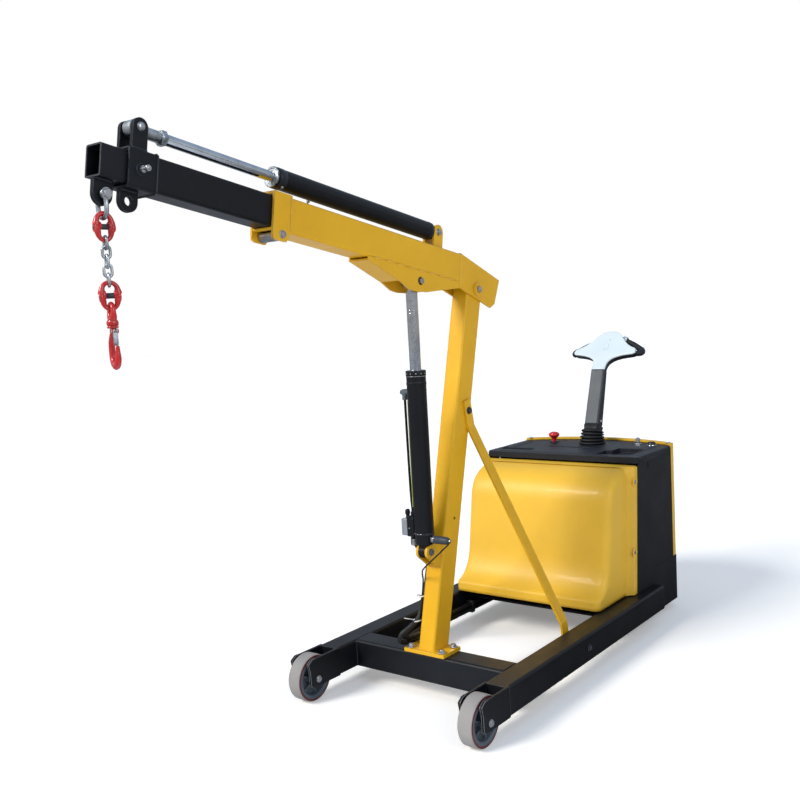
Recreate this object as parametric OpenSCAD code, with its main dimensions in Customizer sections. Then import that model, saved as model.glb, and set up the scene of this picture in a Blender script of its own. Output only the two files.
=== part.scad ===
// Battery-electric counterbalanced engine hoist crane with a telescopic boom.
// Millimetres. X across the machine, -Y forward (the way the boom points), Z up.
// The origin lies on the floor, under the middle of the machine's outer box.

/* [Ground frame] */
// Height of the leg tubes
leg_h = 98; // [90:1:110]
// Width of the leg tubes
leg_w = 85; // [80:1:90]
// Width over both legs
frame_w = 772; // [740:2:800]
// Diameter of the front load wheels
wheel_d = 160; // [150:1:164]
// Width of the front load wheels
wheel_w = 50; // [44:1:54]

/* [Mast] */
// Backward lean of the mast, in degrees
mast_lean = 14.5; // [12:0.5:16]
// Mast tube size across the machine
mast_w = 66; // [60:1:66]
// Mast tube size front to back
mast_d = 90; // [84:1:92]

/* [Boom] */
// Rise of the boom above level at rest, in degrees
boom_rise = 9.5; // [5:0.5:14]
// Length of the outer boom, from the kink to the front collar
outer_len = 895; // [870:1:915]
// Distance from the kink to the end of the inner boom
inner_end = 1352; // [1345:1:1360]
// Distance from the kink to the end of the tip tube
tip_end = 1424; // [1420:1:1440]

/* [Power unit] */
// Width over the cabinet's side panels
cabinet_w = 686; // [670:2:700]
// Height of the cabinet's top cover above the floor
cabinet_top = 690; // [680:1:700]
// Backward lean of the tiller at rest, in degrees
tiller_lean = 19.8; // [12:0.2:24]

/* [Chain] */
// Diameter of the chain's wire
chain_wire = 7; // [6:0.5:7.5]
// Inside length of one chain link
chain_pitch = 21.3; // [20:0.1:24]

/* [Hidden] */

tiny = 0.1;
run = 0.05;                 // radial clearance of every turning fit

// Colours
paint_yellow = "#f2b705";
paint_black = "#1d2026";
panel_grey = "#2f3237";
cover_black = "#23262d";
steel = "#b9bcc0";
zinc = "#c9ccd0";
red = "#c8201c";
rubber = "#26282b";
tread_grey = "#8f9292";
cast_blue = "#5d6975";
silver = "#c4cacd";

// Places along the machine, measured from the middle of the mast's foot
foot_y = -151.58;
floor_gap = 56;
leg_top = floor_gap + leg_h;
leg_x = (frame_w - leg_w) / 2;
leg_front = foot_y - 160;
leg_rear = foot_y + 1052;
axle_y = foot_y - 258;
beam_d = 93;
beam_y = foot_y - 7.5;
wall = 5;
fork_wall = 8;

// Mast and boom pivots
plate_t = 12;
mast_z = leg_top + plate_t;
pivot_y = foot_y + 310;
pivot_z = 1365;
mast_len = (pivot_z - mast_z) / cos(mast_lean);
mast_over = 45;             // mast tube above the boom pivot
pivot_r = 15;

// Boom frame: s runs forward along the boom, h up from its top face
kink_y = foot_y + 225;
kink_z = 1487;
head_drop = 21.2;
head_len = 252;
head_depth = 114;
boom_half = 40;
cheek_t = 6;
outer_h = 98;
inner_half = 34;
inner_h = 86;
inner_top = -6;
inner_tail = 417;
tip_half = 29;
tip_h = 76;
tip_tail = 960;
tube_mid = -49;             // middle height of all three boom tubes
roller_r = 16;
roller_half = 36;
roller_s = 860;
roller_h = inner_top - inner_h - roller_r - run;
lug_drop = -121;            // height of the hook lugs' holes
lug_r = 26;
collar_lug_s = 1328;
tip_lug_s = tip_end - lug_r;

// Reach cylinder
reach_h = 52;
reach_rear = 115;
reach_front = 868;
reach_eye_s = 1322;
reach_r = 29;
reach_rod_r = 14;

// Lift ram, from the foot pin to the boom's ram pin
ram_y = foot_y - 18;
ram_foot_z = 500;
ram_top_z = 1396;
ram_r = 32.5;
ram_rod_r = 19;
barrel_top = 1107;
ram_pin_r = 12;

// Braces
brace_w = 40;
brace_t = 8;
brace_tilt = 10.96;
brace_top_y = foot_y + 222;
brace_top_z = 949;
brace_leg_run = 857.6;       // bolt to bolt along the brace's own plane
bolt_r = 6;

// Cabinet
cab_half = cabinet_w / 2;
cab_front = foot_y + 930;
cab_front_low = foot_y + 893;
cab_side_rear = foot_y + 1262;
rear_centre_y = foot_y + 718;
rear_r = 667;
rim_r = 641.5;
skirt_low = 33;
skirt_top = 222;
deck_z = 225;
tray_z = 110;

// Drive unit and tiller
steer_y = foot_y + 1238;
drive_r = 100;
drive_w = 70;
column_r = 22;
tiller_z = 713;
arm_from = 56;
arm_to = 304;
head_bend = 25.2;
grip_back = 41;

// Casters
caster_x = 235;
caster_y = foot_y + 1165;
caster_trail = 30;
caster_r = 50;

// Chain: heights of the wires' centres
chain_y = kink_y - tip_lug_s * cos(boom_rise) + lug_drop * sin(boom_rise);
shackle_z = kink_z + tip_lug_s * sin(boom_rise) + lug_drop * cos(boom_rise);
bow_drop = 53;
bow_wire = 5.5;
conn_wire = 5.2;
conn_len = 61;
contact = 0.15;
wire_r = chain_wire / 2;
link_len = chain_pitch + chain_wire;
step = link_len - chain_wire - contact;
bow_z = shackle_z - bow_drop;
conn1_z = bow_z + bow_wire + conn_wire + contact;
link1_z = conn1_z - conn_len + conn_wire + wire_r + contact;
conn2_z = link1_z - 4 * step - link_len + wire_r + conn_wire + contact;
hook_wire = 6;
hook_z = conn2_z - conn_len + conn_wire + hook_wire + contact;
twist_step = 93.5;
hook_turn = 194;           // the hook opens to the right of the chain

// ---- shapes used again and again ----

// Flat rectangle with round corners, drawn about its middle
module round_rect(w, h, r) {
    square([w - 2 * r, h], center = true);
    square([w, h - 2 * r], center = true);
    for (x = [-1, 1], y = [-1, 1])
        translate([x * (w / 2 - r), y * (h / 2 - r)]) circle(r, $fn = 32);
}

// Rectangular hollow section lying along -Y from y = 0
module box_tube(w, h, len, t, r = 10) {
    rotate([90, 0, 0]) linear_extrude(len) difference() {
        round_rect(w, h, r);
        round_rect(w - 2 * t, h - 2 * t, max(r - t, 1));
    }
}

// Plate cut from an outline in the YZ plane, from x = x0 to x0 + t
module side_plate(x0, t) {
    translate([x0, 0, 0]) rotate([90, 0, 90]) linear_extrude(t) children();
}

// The same plate on both sides of the middle plane, inner face at x0
module side_plates(x0, t) {
    side_plate(x0, t) children();
    side_plate(-x0 - t, t) children();
}

module x_rod(r, x0, x1, fn = 48) {
    translate([x0, 0, 0]) rotate([0, 90, 0]) cylinder(r = r, h = x1 - x0, $fn = fn);
}

module hex_head(r, h) cylinder(r = r, h = h, $fn = 6);

// Hexagon bolt along +X, its shank from x0 to x1, with a head and a nut outside
module x_bolt(r, x0, x1) {
    x_rod(r, x0 - r, x1 + r);
    for (x = [x0 - 1.1 * r, x1]) translate([x, 0, 0]) rotate([0, 90, 0]) hex_head(1.8 * r, 1.1 * r);
}

// Frames of the moving groups
module at_boom(s = 0, h = 0)
    translate([0, kink_y, kink_z]) rotate([-boom_rise, 0, 0]) translate([0, -s, h]) children();
module at_head(e = 0, m = 0)
    translate([0, kink_y, kink_z]) rotate([-head_drop, 0, 0]) translate([0, e, -m]) children();
module at_mast(up = 0)
    translate([0, foot_y, mast_z]) rotate([-mast_lean, 0, 0]) translate([0, 0, up]) children();
module at_pivot() translate([0, pivot_y, pivot_z]) children();
module at_tiller(up = 0)
    translate([0, steer_y, tiller_z]) rotate([-tiller_lean, 0, 0]) translate([0, 0, up]) children();
// The head's own frame: X across, Y along the face away from the neck, Z out of the face
module at_tiller_head() at_tiller(arm_to) translate([0, -30, 0]) rotate([90 - head_bend, 0, 0]) children();

function bezier(a, b, c, d, n) = [
    for (i = [0:n]) let (t = i / n, u = 1 - t)
        u * u * u * a + 3 * u * u * t * b + 3 * u * t * t * c + t * t * t * d
];

// Round flexible line along a list of points, as a closed skin
module flex_line(path, r, sides = 10) {
    last = len(path) - 1;
    rings = [
        for (i = [0:last])
            let (
                way = path[min(i + 1, last)] - path[max(i - 1, 0)],
                side_way = cross(way, [0.31, 0.17, 1]),
                a = side_way / norm(side_way),
                up_way = cross(a, way),
                b = up_way / norm(up_way)
            )
            for (k = [0:sides - 1])
                let (t = 360 * k / sides) path[i] + r * (cos(t) * a + sin(t) * b)
    ];
    faces = concat(
        [[for (k = [0:sides - 1]) k]],
        [[for (k = [sides - 1:-1:0]) last * sides + k]],
        [
            for (i = [0:last - 1], k = [0:sides - 1])
                [
                    i * sides + (k + 1) % sides, i * sides + k,
                    (i + 1) * sides + k, (i + 1) * sides + (k + 1) % sides
                ]
        ]
    );
    polyhedron(rings, faces, convexity = 6);
}

// Closed oval wire ring standing in the XZ plane, its top wire's centre at z = 0
module oval_ring(length, half_w, wire) {
    straight = length - 2 * half_w;
    for (x = [-1, 1]) translate([x * half_w, 0, -half_w - straight])
        cylinder(r = wire, h = straight, $fn = 24);
    translate([0, 0, -half_w]) rotate([90, 0, 0])
        rotate_extrude(angle = 180, $fn = 48) translate([half_w, 0]) circle(wire, $fn = 24);
    translate([0, 0, -half_w - straight]) rotate([90, 0, 0]) rotate([0, 0, 180])
        rotate_extrude(angle = 180, $fn = 48) translate([half_w, 0]) circle(wire, $fn = 24);
}

// ---- ground frame ----

module fork_outline() {
    polygon([
        [leg_front + 12, leg_top], [foot_y - 285, leg_top], [foot_y - 303, leg_top - 12],
        [foot_y - 296, leg_top - 42], [foot_y - 295, floor_gap + 10],
        [foot_y - 286, floor_gap], [leg_front + 12, floor_gap]
    ]);
}

module leg() {
    mid_z = floor_gap + leg_h / 2;
    translate([leg_x, leg_rear, mid_z]) difference() {
        box_tube(leg_w, leg_h, leg_rear - leg_front, wall);
        // bolt hole of the brace
        translate([0, brace_foot_y() - leg_rear, brace_foot_z() - mid_z])
            x_rod(bolt_r, -leg_w, leg_w);
    }
    for (y = [leg_front, leg_rear - 6])
        translate([leg_x - leg_w / 2 + 2, y, floor_gap + 2]) cube([leg_w - 4, 6, leg_h - 4]);
    difference() {
        union() {
            side_plate(leg_x - leg_w / 2, fork_wall) fork_outline();
            side_plate(leg_x + leg_w / 2 - fork_wall, fork_wall) fork_outline();
        }
        translate([0, axle_y, wheel_d / 2]) x_rod(10, leg_x - leg_w, leg_x + leg_w);
    }
}

function brace_foot_y() = brace_top_y + brace_leg_run * sin(brace_tilt);
function brace_foot_z() = brace_top_z - brace_leg_run * cos(brace_tilt);

module base_frame() color(paint_black) {
    leg();
    mirror([1, 0, 0]) leg();
    // cross beam with the four holes of the mast's foot
    difference() {
        translate([0, beam_y, floor_gap + leg_h / 2]) rotate([0, 0, 90])
            translate([0, leg_x - leg_w / 2 + 1, 0]) box_tube(beam_d, leg_h, 2 * leg_x - leg_w + 2, wall);
        foot_bolts() cylinder(r = bolt_r, h = 40, center = true, $fn = 32);
    }
    // tray of the battery and the counterweight
    translate([-leg_x + leg_w / 2 - 1, foot_y + 690, tray_z]) cube([2 * leg_x - leg_w + 2, 362, 8]);
    translate([-leg_x + leg_w / 2 - 1, leg_rear - 8, tray_z])
        cube([2 * leg_x - leg_w + 2, 8, deck_z - tray_z]);
    // rear deck over the drive wheel, with the bearing holes
    difference() {
        translate([0, 0, deck_z]) linear_extrude(8) difference() {
            rear_plan(rear_r - 12, cab_half - 10, leg_rear - 8);
            translate([0, steer_y]) circle(110 + run, $fn = 96);
        }
        for (x = [-1, 1]) translate([x * caster_x, caster_y, deck_z - 1])
            cylinder(r = 12 + run, h = 12, $fn = 48);
    }
}

// Plan of the cabinet's rear: straight sides, bowed back
module rear_plan(r, half, front) {
    intersection() {
        translate([0, rear_centre_y]) circle(r, $fn = 240);
        translate([-half, front]) square([2 * half, 800]);
    }
}

module rear_skirt() color(panel_grey)
    translate([0, 0, skirt_low]) linear_extrude(skirt_top - skirt_low) difference() {
        rear_plan(rear_r + 4, cab_half, leg_rear + 1);
        rear_plan(rear_r - 4, cab_half - 8, leg_rear - 10);
    }

module foot_bolts() {
    for (x = [-1, 1], y = [-1, 1]) translate([x * 64, foot_y - 9 + y * 34, leg_top]) children();
}

module mast() color(paint_yellow) {
    difference() {
        union() {
            difference() {
                at_mast(mast_len + mast_over) rotate([90, 0, 0])
                    box_tube(mast_w, mast_d, mast_len + mast_over + 40, wall);
                translate([-200, foot_y - 200, -60]) cube([400, 400, mast_z + 59]);
            }
            translate([-81.5, foot_y - 59, leg_top]) cube([163, 100, plate_t]);
            at_pivot() x_rod(24, -mast_w / 2, mast_w / 2);
            // clevis plates of the lift ram's foot
            side_plates(14, 9) ram_clevis();
            side_plate(-23, 46) polygon([
                [mast_front(440) - 7, 440], [mast_front(440) + 2, 440],
                [mast_front(530) + 2, 530], [mast_front(530) - 7, 530]
            ]);
        }
        at_pivot() x_rod(pivot_r + run, -50, 50);
        foot_bolts() translate([0, 0, -1]) cylinder(r = bolt_r, h = 40, $fn = 32);
        translate([0, brace_top_y, brace_top_z]) x_rod(bolt_r, -50, 50);
        translate([0, foot_y + 114, 590]) x_rod(6, 0, 50);
        translate([0, ram_y, ram_foot_z]) x_rod(ram_pin_r, -30, 30);
    }
}

// Y of the mast's front face at height z
function mast_front(z) = foot_y + (z - mast_z) * tan(mast_lean) - mast_d / 2 / cos(mast_lean);

module ram_clevis() {
    translate([ram_y, ram_foot_z]) circle(24, $fn = 64);
    polygon([
        [ram_y, ram_foot_z + 24], [ram_y + 36, ram_foot_z + 25], [mast_front(534) + 2, 534],
        [mast_front(436) + 2, 436], [ram_y - 17, ram_foot_z - 16.9]
    ]);
}

module frame_bolts() color(zinc) {
    foot_bolts() {
        translate([0, 0, plate_t]) cylinder(r = 12, h = 2, $fn = 32);
        translate([0, 0, plate_t + 2]) hex_head(11, 8);
        translate([0, 0, -22]) cylinder(r = bolt_r - 0.02, h = 42, $fn = 32);
    }
    translate([0, brace_top_y, brace_top_z])
        x_bolt(bolt_r - 0.02, -mast_w / 2 - brace_t, mast_w / 2 + brace_t);
    for (x = [-1, 1]) translate([x * leg_x, brace_foot_y(), brace_foot_z()])
        x_bolt(
            bolt_r - 0.02, -leg_w / 2 - (x > 0 ? brace_t : 0), leg_w / 2 + (x < 0 ? brace_t : 0)
        );
}

// Flat bar bent flat against the mast at the top and against the leg at the bottom
module brace() {
    x0 = mast_w / 2;
    x1 = leg_x - leg_w / 2 - brace_t;
    translate([0, brace_top_y, brace_top_z]) rotate([brace_tilt, 0, 0]) difference() {
        rotate([90, 0, 0]) linear_extrude(brace_w, center = true) polygon([
            [x0, 38], [x0 + brace_t, 38], [x0 + brace_t, -56], [x1 + brace_t, -774],
            [x1 + brace_t, -brace_leg_run - 28], [x1, -brace_leg_run - 28], [x1, -776], [x0, -58]
        ]);
        x_rod(bolt_r, x0 - 5, x0 + 20);
        translate([0, 0, -brace_leg_run]) x_rod(bolt_r, x1 - 20, x1 + 20);
    }
}

module braces() color(paint_yellow) {
    brace();
    mirror([1, 0, 0]) brace();
}

module front_axles() color(steel) for (x = [-1, 1]) translate([x * leg_x, axle_y, wheel_d / 2]) {
    x_rod(10, -leg_w / 2 - 6, leg_w / 2 + 6);
    for (e = [-1, 1]) translate([e * (leg_w / 2 + 4), 0, 0]) x_rod(14, -4, 4);
}

// Cast wheel hub along X, with a boss, a web, ribs and a rim
module wheel_hub(rim, bore, width, boss) {
    rotate([0, 90, 0]) difference() {
        union() {
            cylinder(r = boss, h = width, center = true, $fn = 64);
            cylinder(r = rim - 2, h = 8, center = true, $fn = 96);
            difference() {
                cylinder(r = rim, h = width - 14, center = true, $fn = 96);
                cylinder(r = rim - 7, h = width, center = true, $fn = 96);
            }
            for (a = [0:60:300]) rotate([0, 0, a]) translate([boss - 2, -3, -(width - 24) / 2])
                cube([rim - boss - 4, 6, width - 24]);
        }
        cylinder(r = bore, h = width + 2, center = true, $fn = 48);
    }
}

module wheel_tyre(r, rim, width) {
    c = 4;
    rotate([0, 90, 0]) rotate_extrude($fn = 128) polygon([
        [rim, -width / 2 + 3], [rim + 5, -width / 2], [r - c, -width / 2], [r, -width / 2 + c],
        [r, width / 2 - c], [r - c, width / 2], [rim + 5, width / 2], [rim, width / 2 - 3]
    ]);
}

module front_hub(x) color(cast_blue) translate([x * leg_x, axle_y, wheel_d / 2])
    wheel_hub(62, 10 + run, wheel_w + 14, 22);
module front_tyre(x) color(tread_grey) translate([x * leg_x, axle_y, wheel_d / 2])
    wheel_tyre(wheel_d / 2, 62, wheel_w);
module front_hub_left() front_hub(-1);
module front_hub_right() front_hub(1);
module front_tyre_left() front_tyre(-1);
module front_tyre_right() front_tyre(1);

// ---- casters ----

module caster_fork(x) color(steel) translate([x * caster_x, caster_y, 0]) difference() {
    union() {
        translate([0, 0, deck_z - 20]) cylinder(r = 30, h = 18, $fn = 64);
        translate([0, 0, deck_z - 3]) cylinder(r = 12, h = 17, $fn = 48);
        translate([0, 0, deck_z + 9]) cylinder(r = 20, h = 5, $fn = 48);
        translate([-26, -25, deck_z - 26]) cube([52, 70, 8]);
        side_plates(20, 5) polygon([
            [-25, deck_z - 20], [45, deck_z - 20], [caster_trail + 18, caster_r - 14],
            [caster_trail - 16, caster_r - 14]
        ]);
        translate([0, caster_trail, caster_r]) x_rod(6, -28, 28);
    }
}
module caster_wheel(x) color(rubber)
    translate([x * caster_x, caster_y + caster_trail, caster_r]) rotate([0, 90, 0])
        rotate_extrude($fn = 96) polygon([
            [6 + run, -18], [16, -18], [16, -12], [caster_r - 12, -12], [caster_r - 10, -16],
            [caster_r - 3, -16], [caster_r, -12], [caster_r, 12], [caster_r - 3, 16],
            [caster_r - 10, 16], [caster_r - 12, 12], [16, 12], [16, 18], [6 + run, 18]
        ]);
module caster_fork_left() caster_fork(-1);
module caster_fork_right() caster_fork(1);
module caster_wheel_left() caster_wheel(-1);
module caster_wheel_right() caster_wheel(1);

// ---- cabinet ----

// Y of the slanted joint between hood and side panels at height z
function cab_joint(z) =
    cab_front_low + (cab_front - cab_front_low) * (z - leg_top) / (cabinet_top - leg_top);

// Side outline of the hood: convex shoulder, leaning front, flared foot. g shrinks it.
module hood_outline(g) {
    o = foot_y + g;
    polygon(concat(
        bezier(
            [cab_joint(658) + tiny, 658 - g], [o + 800, 655 - g],
            [o + 745, 610 - g], [o + 729, 530], 12
        ),
        bezier([o + 700, 350], [o + 690, 265], [o + 660, 212 - g], [o + 606, 192], 10),
        [[o + 604, leg_top + 5 + (g > 0 ? -9 : 0)]],
        [[cab_joint(leg_top + 5), leg_top + 5 + (g > 0 ? -9 : 0)]]
    ));
}

// Hood plan with rounded front corners
module hood_plan(g) {
    translate([0, cab_front - 200]) round_rect(636 - 2 * g, 640 - 2 * g, 40);
}

module hood_block(g) intersection() {
    side_plate(-330, 660) hood_outline(g);
    translate([0, 0, 100]) linear_extrude(600) hood_plan(g);
}

module front_hood() color(paint_yellow) difference() {
    hood_block(0);
    hood_block(4);
    hood_screw_places() x_rod(4, -12, 12);
}

module hood_screw_places() {
    for (x = [-1, 1], z = [325, 600])
        translate([x * 318, cab_joint(z) - 15, z]) children();
}

module cover_screws() color(zinc) {
    for (x = [-1, 1], z = [325, 600]) translate([x * 318, cab_joint(z) - 15, z]) {
        x_rod(3.9, -8, 8);
        x_rod(9, x > 0 ? 0.2 : -5.2, x > 0 ? 5.2 : -0.2);
    }
    for (x = [-1, 1]) translate([x * 327, cab_side_rear + 15, cabinet_top + 9])
        cylinder(r = 8, h = 4, $fn = 32);
}

module top_plan(g) {
    difference() {
        rear_plan(rim_r - 1.5 - g, cab_half - g, cab_front + g);
        translate([0, steer_y]) circle(48, $fn = 96);
    }
}

pockets = [
    [[120, 975], [148, 170], 20],
    [[-320, 1000], [125, 45], 15],
    [[-147, 1112], [194, 23], 12]
];

module top_cover() color(cover_black) difference() {
    union() {
        translate([0, 0, cabinet_top - 6]) linear_extrude(6) top_plan(0);
        translate([-cab_half, cab_front, cabinet_top - 28]) cube([2 * cab_half, 6, 28]);
        for (p = pockets) translate([p[0].x - 3, foot_y + p[0].y - 3, cabinet_top - p[2] - 3])
            cube([p[1].x + 6, p[1].y + 6, p[2] + 1]);
    }
    for (p = pockets) translate([p[0].x, foot_y + p[0].y, cabinet_top - p[2]])
        cube([p[1].x, p[1].y, p[2] + 1]);
    stop_place() cylinder(r = 16, h = 40, center = true, $fn = 48);
    key_place() cylinder(r = 12, h = 40, center = true, $fn = 48);
    socket_place() cylinder(r = 14, h = 40, center = true, $fn = 48);
}

module stop_place() translate([-189, steer_y + 7, cabinet_top]) children();
module key_place() translate([195, steer_y + 35, cabinet_top]) children();
module socket_place() translate([262, steer_y + 20, cabinet_top]) children();

module side_panels() color(panel_grey) difference() {
    side_plates(cab_half - 3, 3) polygon([
        [cab_joint(leg_top + 1) + 1, leg_top + 1], [leg_rear, leg_top + 1], [leg_rear, skirt_top + 1],
        [cab_side_rear, skirt_top + 1], [cab_side_rear, cabinet_top - 7],
        [cab_front + 7, cabinet_top - 7], [cab_front + 7, cabinet_top - 29],
        [cab_joint(cabinet_top - 29) + 1, cabinet_top - 29]
    ]);
    // ventilation slots
    for (x = [-1, 1]) translate([x * cab_half - 10, foot_y + 1022, 634]) cube([20, 8, 24]);
}

module rear_cover() color(paint_yellow) intersection() {
    union() {
        translate([0, 0, skirt_top + 1]) linear_extrude(cabinet_top + 8 - skirt_top) difference() {
            rear_plan(rear_r, cab_half, cab_side_rear - 60);
            rear_plan(rear_r - 5, cab_half - 5, cab_side_rear - 70);
        }
        // flat rim on top, bowed like the top cover's rear edge
        translate([0, 0, cabinet_top + 1]) linear_extrude(8) difference() {
            rear_plan(rear_r, cab_half, cab_side_rear - 60);
            translate([0, rear_centre_y]) circle(rim_r, $fn = 240);
        }
    }
    translate([-400, cab_side_rear + 1, 0]) cube([800, 300, 900]);
}

module battery_pack() color("#3a4048") for (x = [-1, 1]) {
    translate([x * 150 - 130, foot_y + 900, tray_z + 8.5]) cube([260, 140, 210]);
    for (e = [-1, 1]) translate([x * 150 + e * 90, foot_y + 930, tray_z + 218])
        cylinder(r = 9, h = 18, $fn = 32);
}

module counterweight() color("#4a4d50")
    translate([-280, foot_y + 745, tray_z + 8.5]) cube([560, 140, 300]);

module pump_unit() color("#50565e") {
    translate([-220, foot_y + 905, 365]) cube([190, 130, 207]);
    translate([-35, foot_y + 970, 470]) x_rod(55, 0, 190, 64);
    translate([155, foot_y + 925, 425]) cube([60, 90, 90]);
    translate([-280, foot_y + 905, 350]) cube([560, 130, 16]);
    for (x = [-1, 1]) translate([x * 285 - 5, foot_y + 905, tray_z + 8.5]) cube([10, 130, 240]);
}

// Two hoses from the ram's foot over the cross beam and along the left leg to the pump
hose_r = 8;
module hydraulic_hoses() color(rubber) {
    for (i = [0, 1]) {
        x = -44 - 22 * i;
        z = 74 + 22 * i;
        rod_line([
            [x, ram_y, 538], [x + 2, ram_y - 6, 420], [x + 4, foot_y - 36, 300],
            [x - 16, foot_y - 76, 220], [x - 46, foot_y - 70, 186], [x - 56, foot_y - 38, 172],
            [-100 - 6 * i, foot_y + 60 + 6 * i, 172 + 23 * i],
            [-120, foot_y + 100 + 6 * i, 130 + 22 * i], [-230, foot_y + 160 + 4 * i, z + 8],
            [-276, foot_y + 260, z], [-276, foot_y + 1030, z]
        ], hose_r);
    }
    // clamps that hold the hoses to the leg
    for (y = [440, 640]) translate([-leg_x + leg_w / 2 + 0.2, foot_y + y, 62]) cube([38, 14, 46]);
}

// Round line of straight pieces with a ball at every corner
module rod_line(points, r) {
    for (i = [0:len(points) - 2]) {
        way = points[i + 1] - points[i];
        translate(points[i]) rotate([0, acos(way.z / norm(way)), atan2(way.y, way.x)]) {
            cylinder(r = r, h = norm(way), $fn = 24);
            if (i > 0) sphere(r = r + 2.2, $fn = 32);
        }
    }
}

module ram_foot_pin() color(zinc) translate([0, ram_y, ram_foot_z]) {
    x_rod(ram_pin_r, -25, 25);
    for (x = [-1, 1]) translate([x * 26, 0, 0]) rotate([0, 90, 0])
        cylinder(r = 15, h = 6, center = true, $fn = 6);
}

// Collars of the stop button and the key, and the charging socket with its cap
module panel_sockets() color("#15171a") {
    stop_place() difference() {
        union() {
            translate([0, 0, 0.2]) cylinder(r = 21, h = 4, $fn = 48);
            translate([0, 0, -20]) cylinder(r = 15.8, h = 22, $fn = 48);
        }
        translate([0, 0, -25]) cylinder(r = 8 + run, h = 40, $fn = 48);
    }
    key_place() difference() {
        union() {
            translate([0, 0, 0.2]) cylinder(r = 15, h = 5, $fn = 48);
            translate([0, 0, -22]) cylinder(r = 11.8, h = 24, $fn = 48);
        }
        translate([0, 0, -6]) cylinder(r = 5 + run, h = 20, $fn = 48);
    }
    socket_place() {
        translate([0, 0, 0.2]) cylinder(r = 17, h = 5, $fn = 48);
        translate([0, 0, -22]) cylinder(r = 13.8, h = 24, $fn = 48);
    }
}

module stop_button() color(red) stop_place() {
    translate([0, 0, -16]) cylinder(r = 8, h = 42, $fn = 48);
    translate([0, 0, 24]) rotate_extrude($fn = 64) polygon([
        [0, 0], [12, 0], [22, 4], [24, 8], [24, 12], [20, 18], [10, 21], [0, 22]
    ]);
}

module ignition_key() color(steel) key_place() {
    translate([0, 0, -4]) cylinder(r = 5, h = 16, $fn = 32);
    translate([0, 0, 12]) rotate([90, 0, 0]) linear_extrude(4, center = true) {
        translate([0, 6]) circle(11, $fn = 48);
        translate([-5, -2]) square([10, 8]);
    }
}

// ---- drive unit ----

module at_steer() translate([0, steer_y, 0]) children();

module drive_motor() color("#33373c") at_steer() difference() {
    union() {
        translate([0, 0, deck_z + 10]) cylinder(r = 84, h = 190, $fn = 96);
        translate([0, 0, deck_z - 4]) cylinder(r = 110, h = 12.4, $fn = 96);
        translate([0, 0, deck_z + 8.2]) cylinder(r = 122, h = 8, $fn = 96);
        translate([drive_w / 2 + 4, -60, 60]) cube([52, 120, deck_z - 58]);
        translate([-drive_w / 2 - 24, -30, 70]) cube([14, 60, deck_z - 68]);
        translate([0, 0, drive_r]) x_rod(15, -drive_w / 2 - 12, drive_w / 2 + 6);
    }
    translate([0, 0, deck_z - 60]) cylinder(r = 8, h = 20, $fn = 32);
}

module drive_hub() color(cast_blue) at_steer() translate([0, 0, drive_r])
    wheel_hub(72, 15 + run, drive_w, 30);
module drive_tyre() color("#6b1f1c") at_steer() translate([0, 0, drive_r])
    wheel_tyre(drive_r, 72, drive_w - 4);

module steer_column() color(steel) at_steer() difference() {
    union() {
        translate([0, 0, deck_z + 200.2]) cylinder(r = 40, h = 20, $fn = 64);
        translate([0, 0, deck_z + 220]) cylinder(r = column_r, h = tiller_z - deck_z - 238, $fn = 48);
        side_plates(23, 6) union() {
            translate([0, tiller_z]) circle(16, $fn = 48);
            translate([-16, tiller_z - 40]) square([32, 40]);
        }
        translate([-29, -16, tiller_z - 48]) cube([58, 32, 10]);
    }
    translate([0, 0, tiller_z]) x_rod(8 + run, -40, 40);
}

// ---- tiller ----

module tiller_arm() color(cast_blue) {
    at_tiller() {
        // tapered box arm, straight along its front
        side_plate(-31, 62) polygon([
            [-30, arm_from], [28, arm_from], [6, arm_to], [-30, arm_to]
        ]);
        // neck that reaches the hinge pin
        translate([-20, -14, 0]) cube([40, 28, arm_from + tiny]);
        x_rod(15, -20, 20);
        x_rod(8, -30, 30);
        // screws on both sides near the foot
        translate([0, 0, arm_from + 22]) x_rod(5, -32.5, 32.5);
    }
}

// Outline of the head's face: neck, swept wings, narrow flat top
module head_face() {
    half = concat(
        [[0, 2], [31, 2], [31, 14]],
        bezier([31, 30], [33, 62], [60, 76], [100, 84], 6),
        [[137, 90], [146, 98], [143, 116]],
        bezier([136, 122], [96, 140], [84, 160], [60, 190], 6),
        [[27, 224], [0, 224]]
    );
    polygon(half);
    mirror([1, 0]) polygon(half);
}

head_t = 16;                // thickness of the face plate
grip_v = 196;               // distance of the grips' axis from the neck
module tiller_head() color(silver) difference() {
    at_tiller_head() difference() {
        union() {
            translate([0, 0, -head_t]) linear_extrude(head_t) head_face();
            translate([-30, 120, -44]) cube([60, 88, 45 - head_t]);
        }
        // rocker slot with its pin bore, horn hole, and slot of the end button
        translate([-9.2, 112.8, -10]) cube([18.4, 30.4, 11]);
        translate([0, 128, -5.5]) x_rod(2 + run, -12.5, 12.5, 32);
        translate([0, 171, -10]) cylinder(r = 8 + run, h = 11, $fn = 48);
        translate([-12.2, 196, -40]) cube([24.4, 16, 16.4]);
    }
    // mitred foot that stands on the arm's end
    at_tiller(arm_to - 40) translate([-50, -60, 0]) cube([100, 100, 40.05]);
}

// Handle loops behind the wings, from the head's middle out to the wing tips
module tiller_grips() color(rubber) at_tiller_head() for (m = [0, 1]) mirror([m, 0, 0]) {
    flex_line(concat(
        [[30.2, grip_v, -34], [45, grip_v, -34]],
        bezier(
            [60, grip_v, -34], [110, grip_v, -grip_back], [142, 180, -grip_back],
            [166, 146, -grip_back], 8
        ),
        bezier([170, 136, -grip_back + 1], [170, 118, -34], [162, 106, -24], [149.6, 104, -14], 6)
    ), 11, 12);
}

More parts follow.
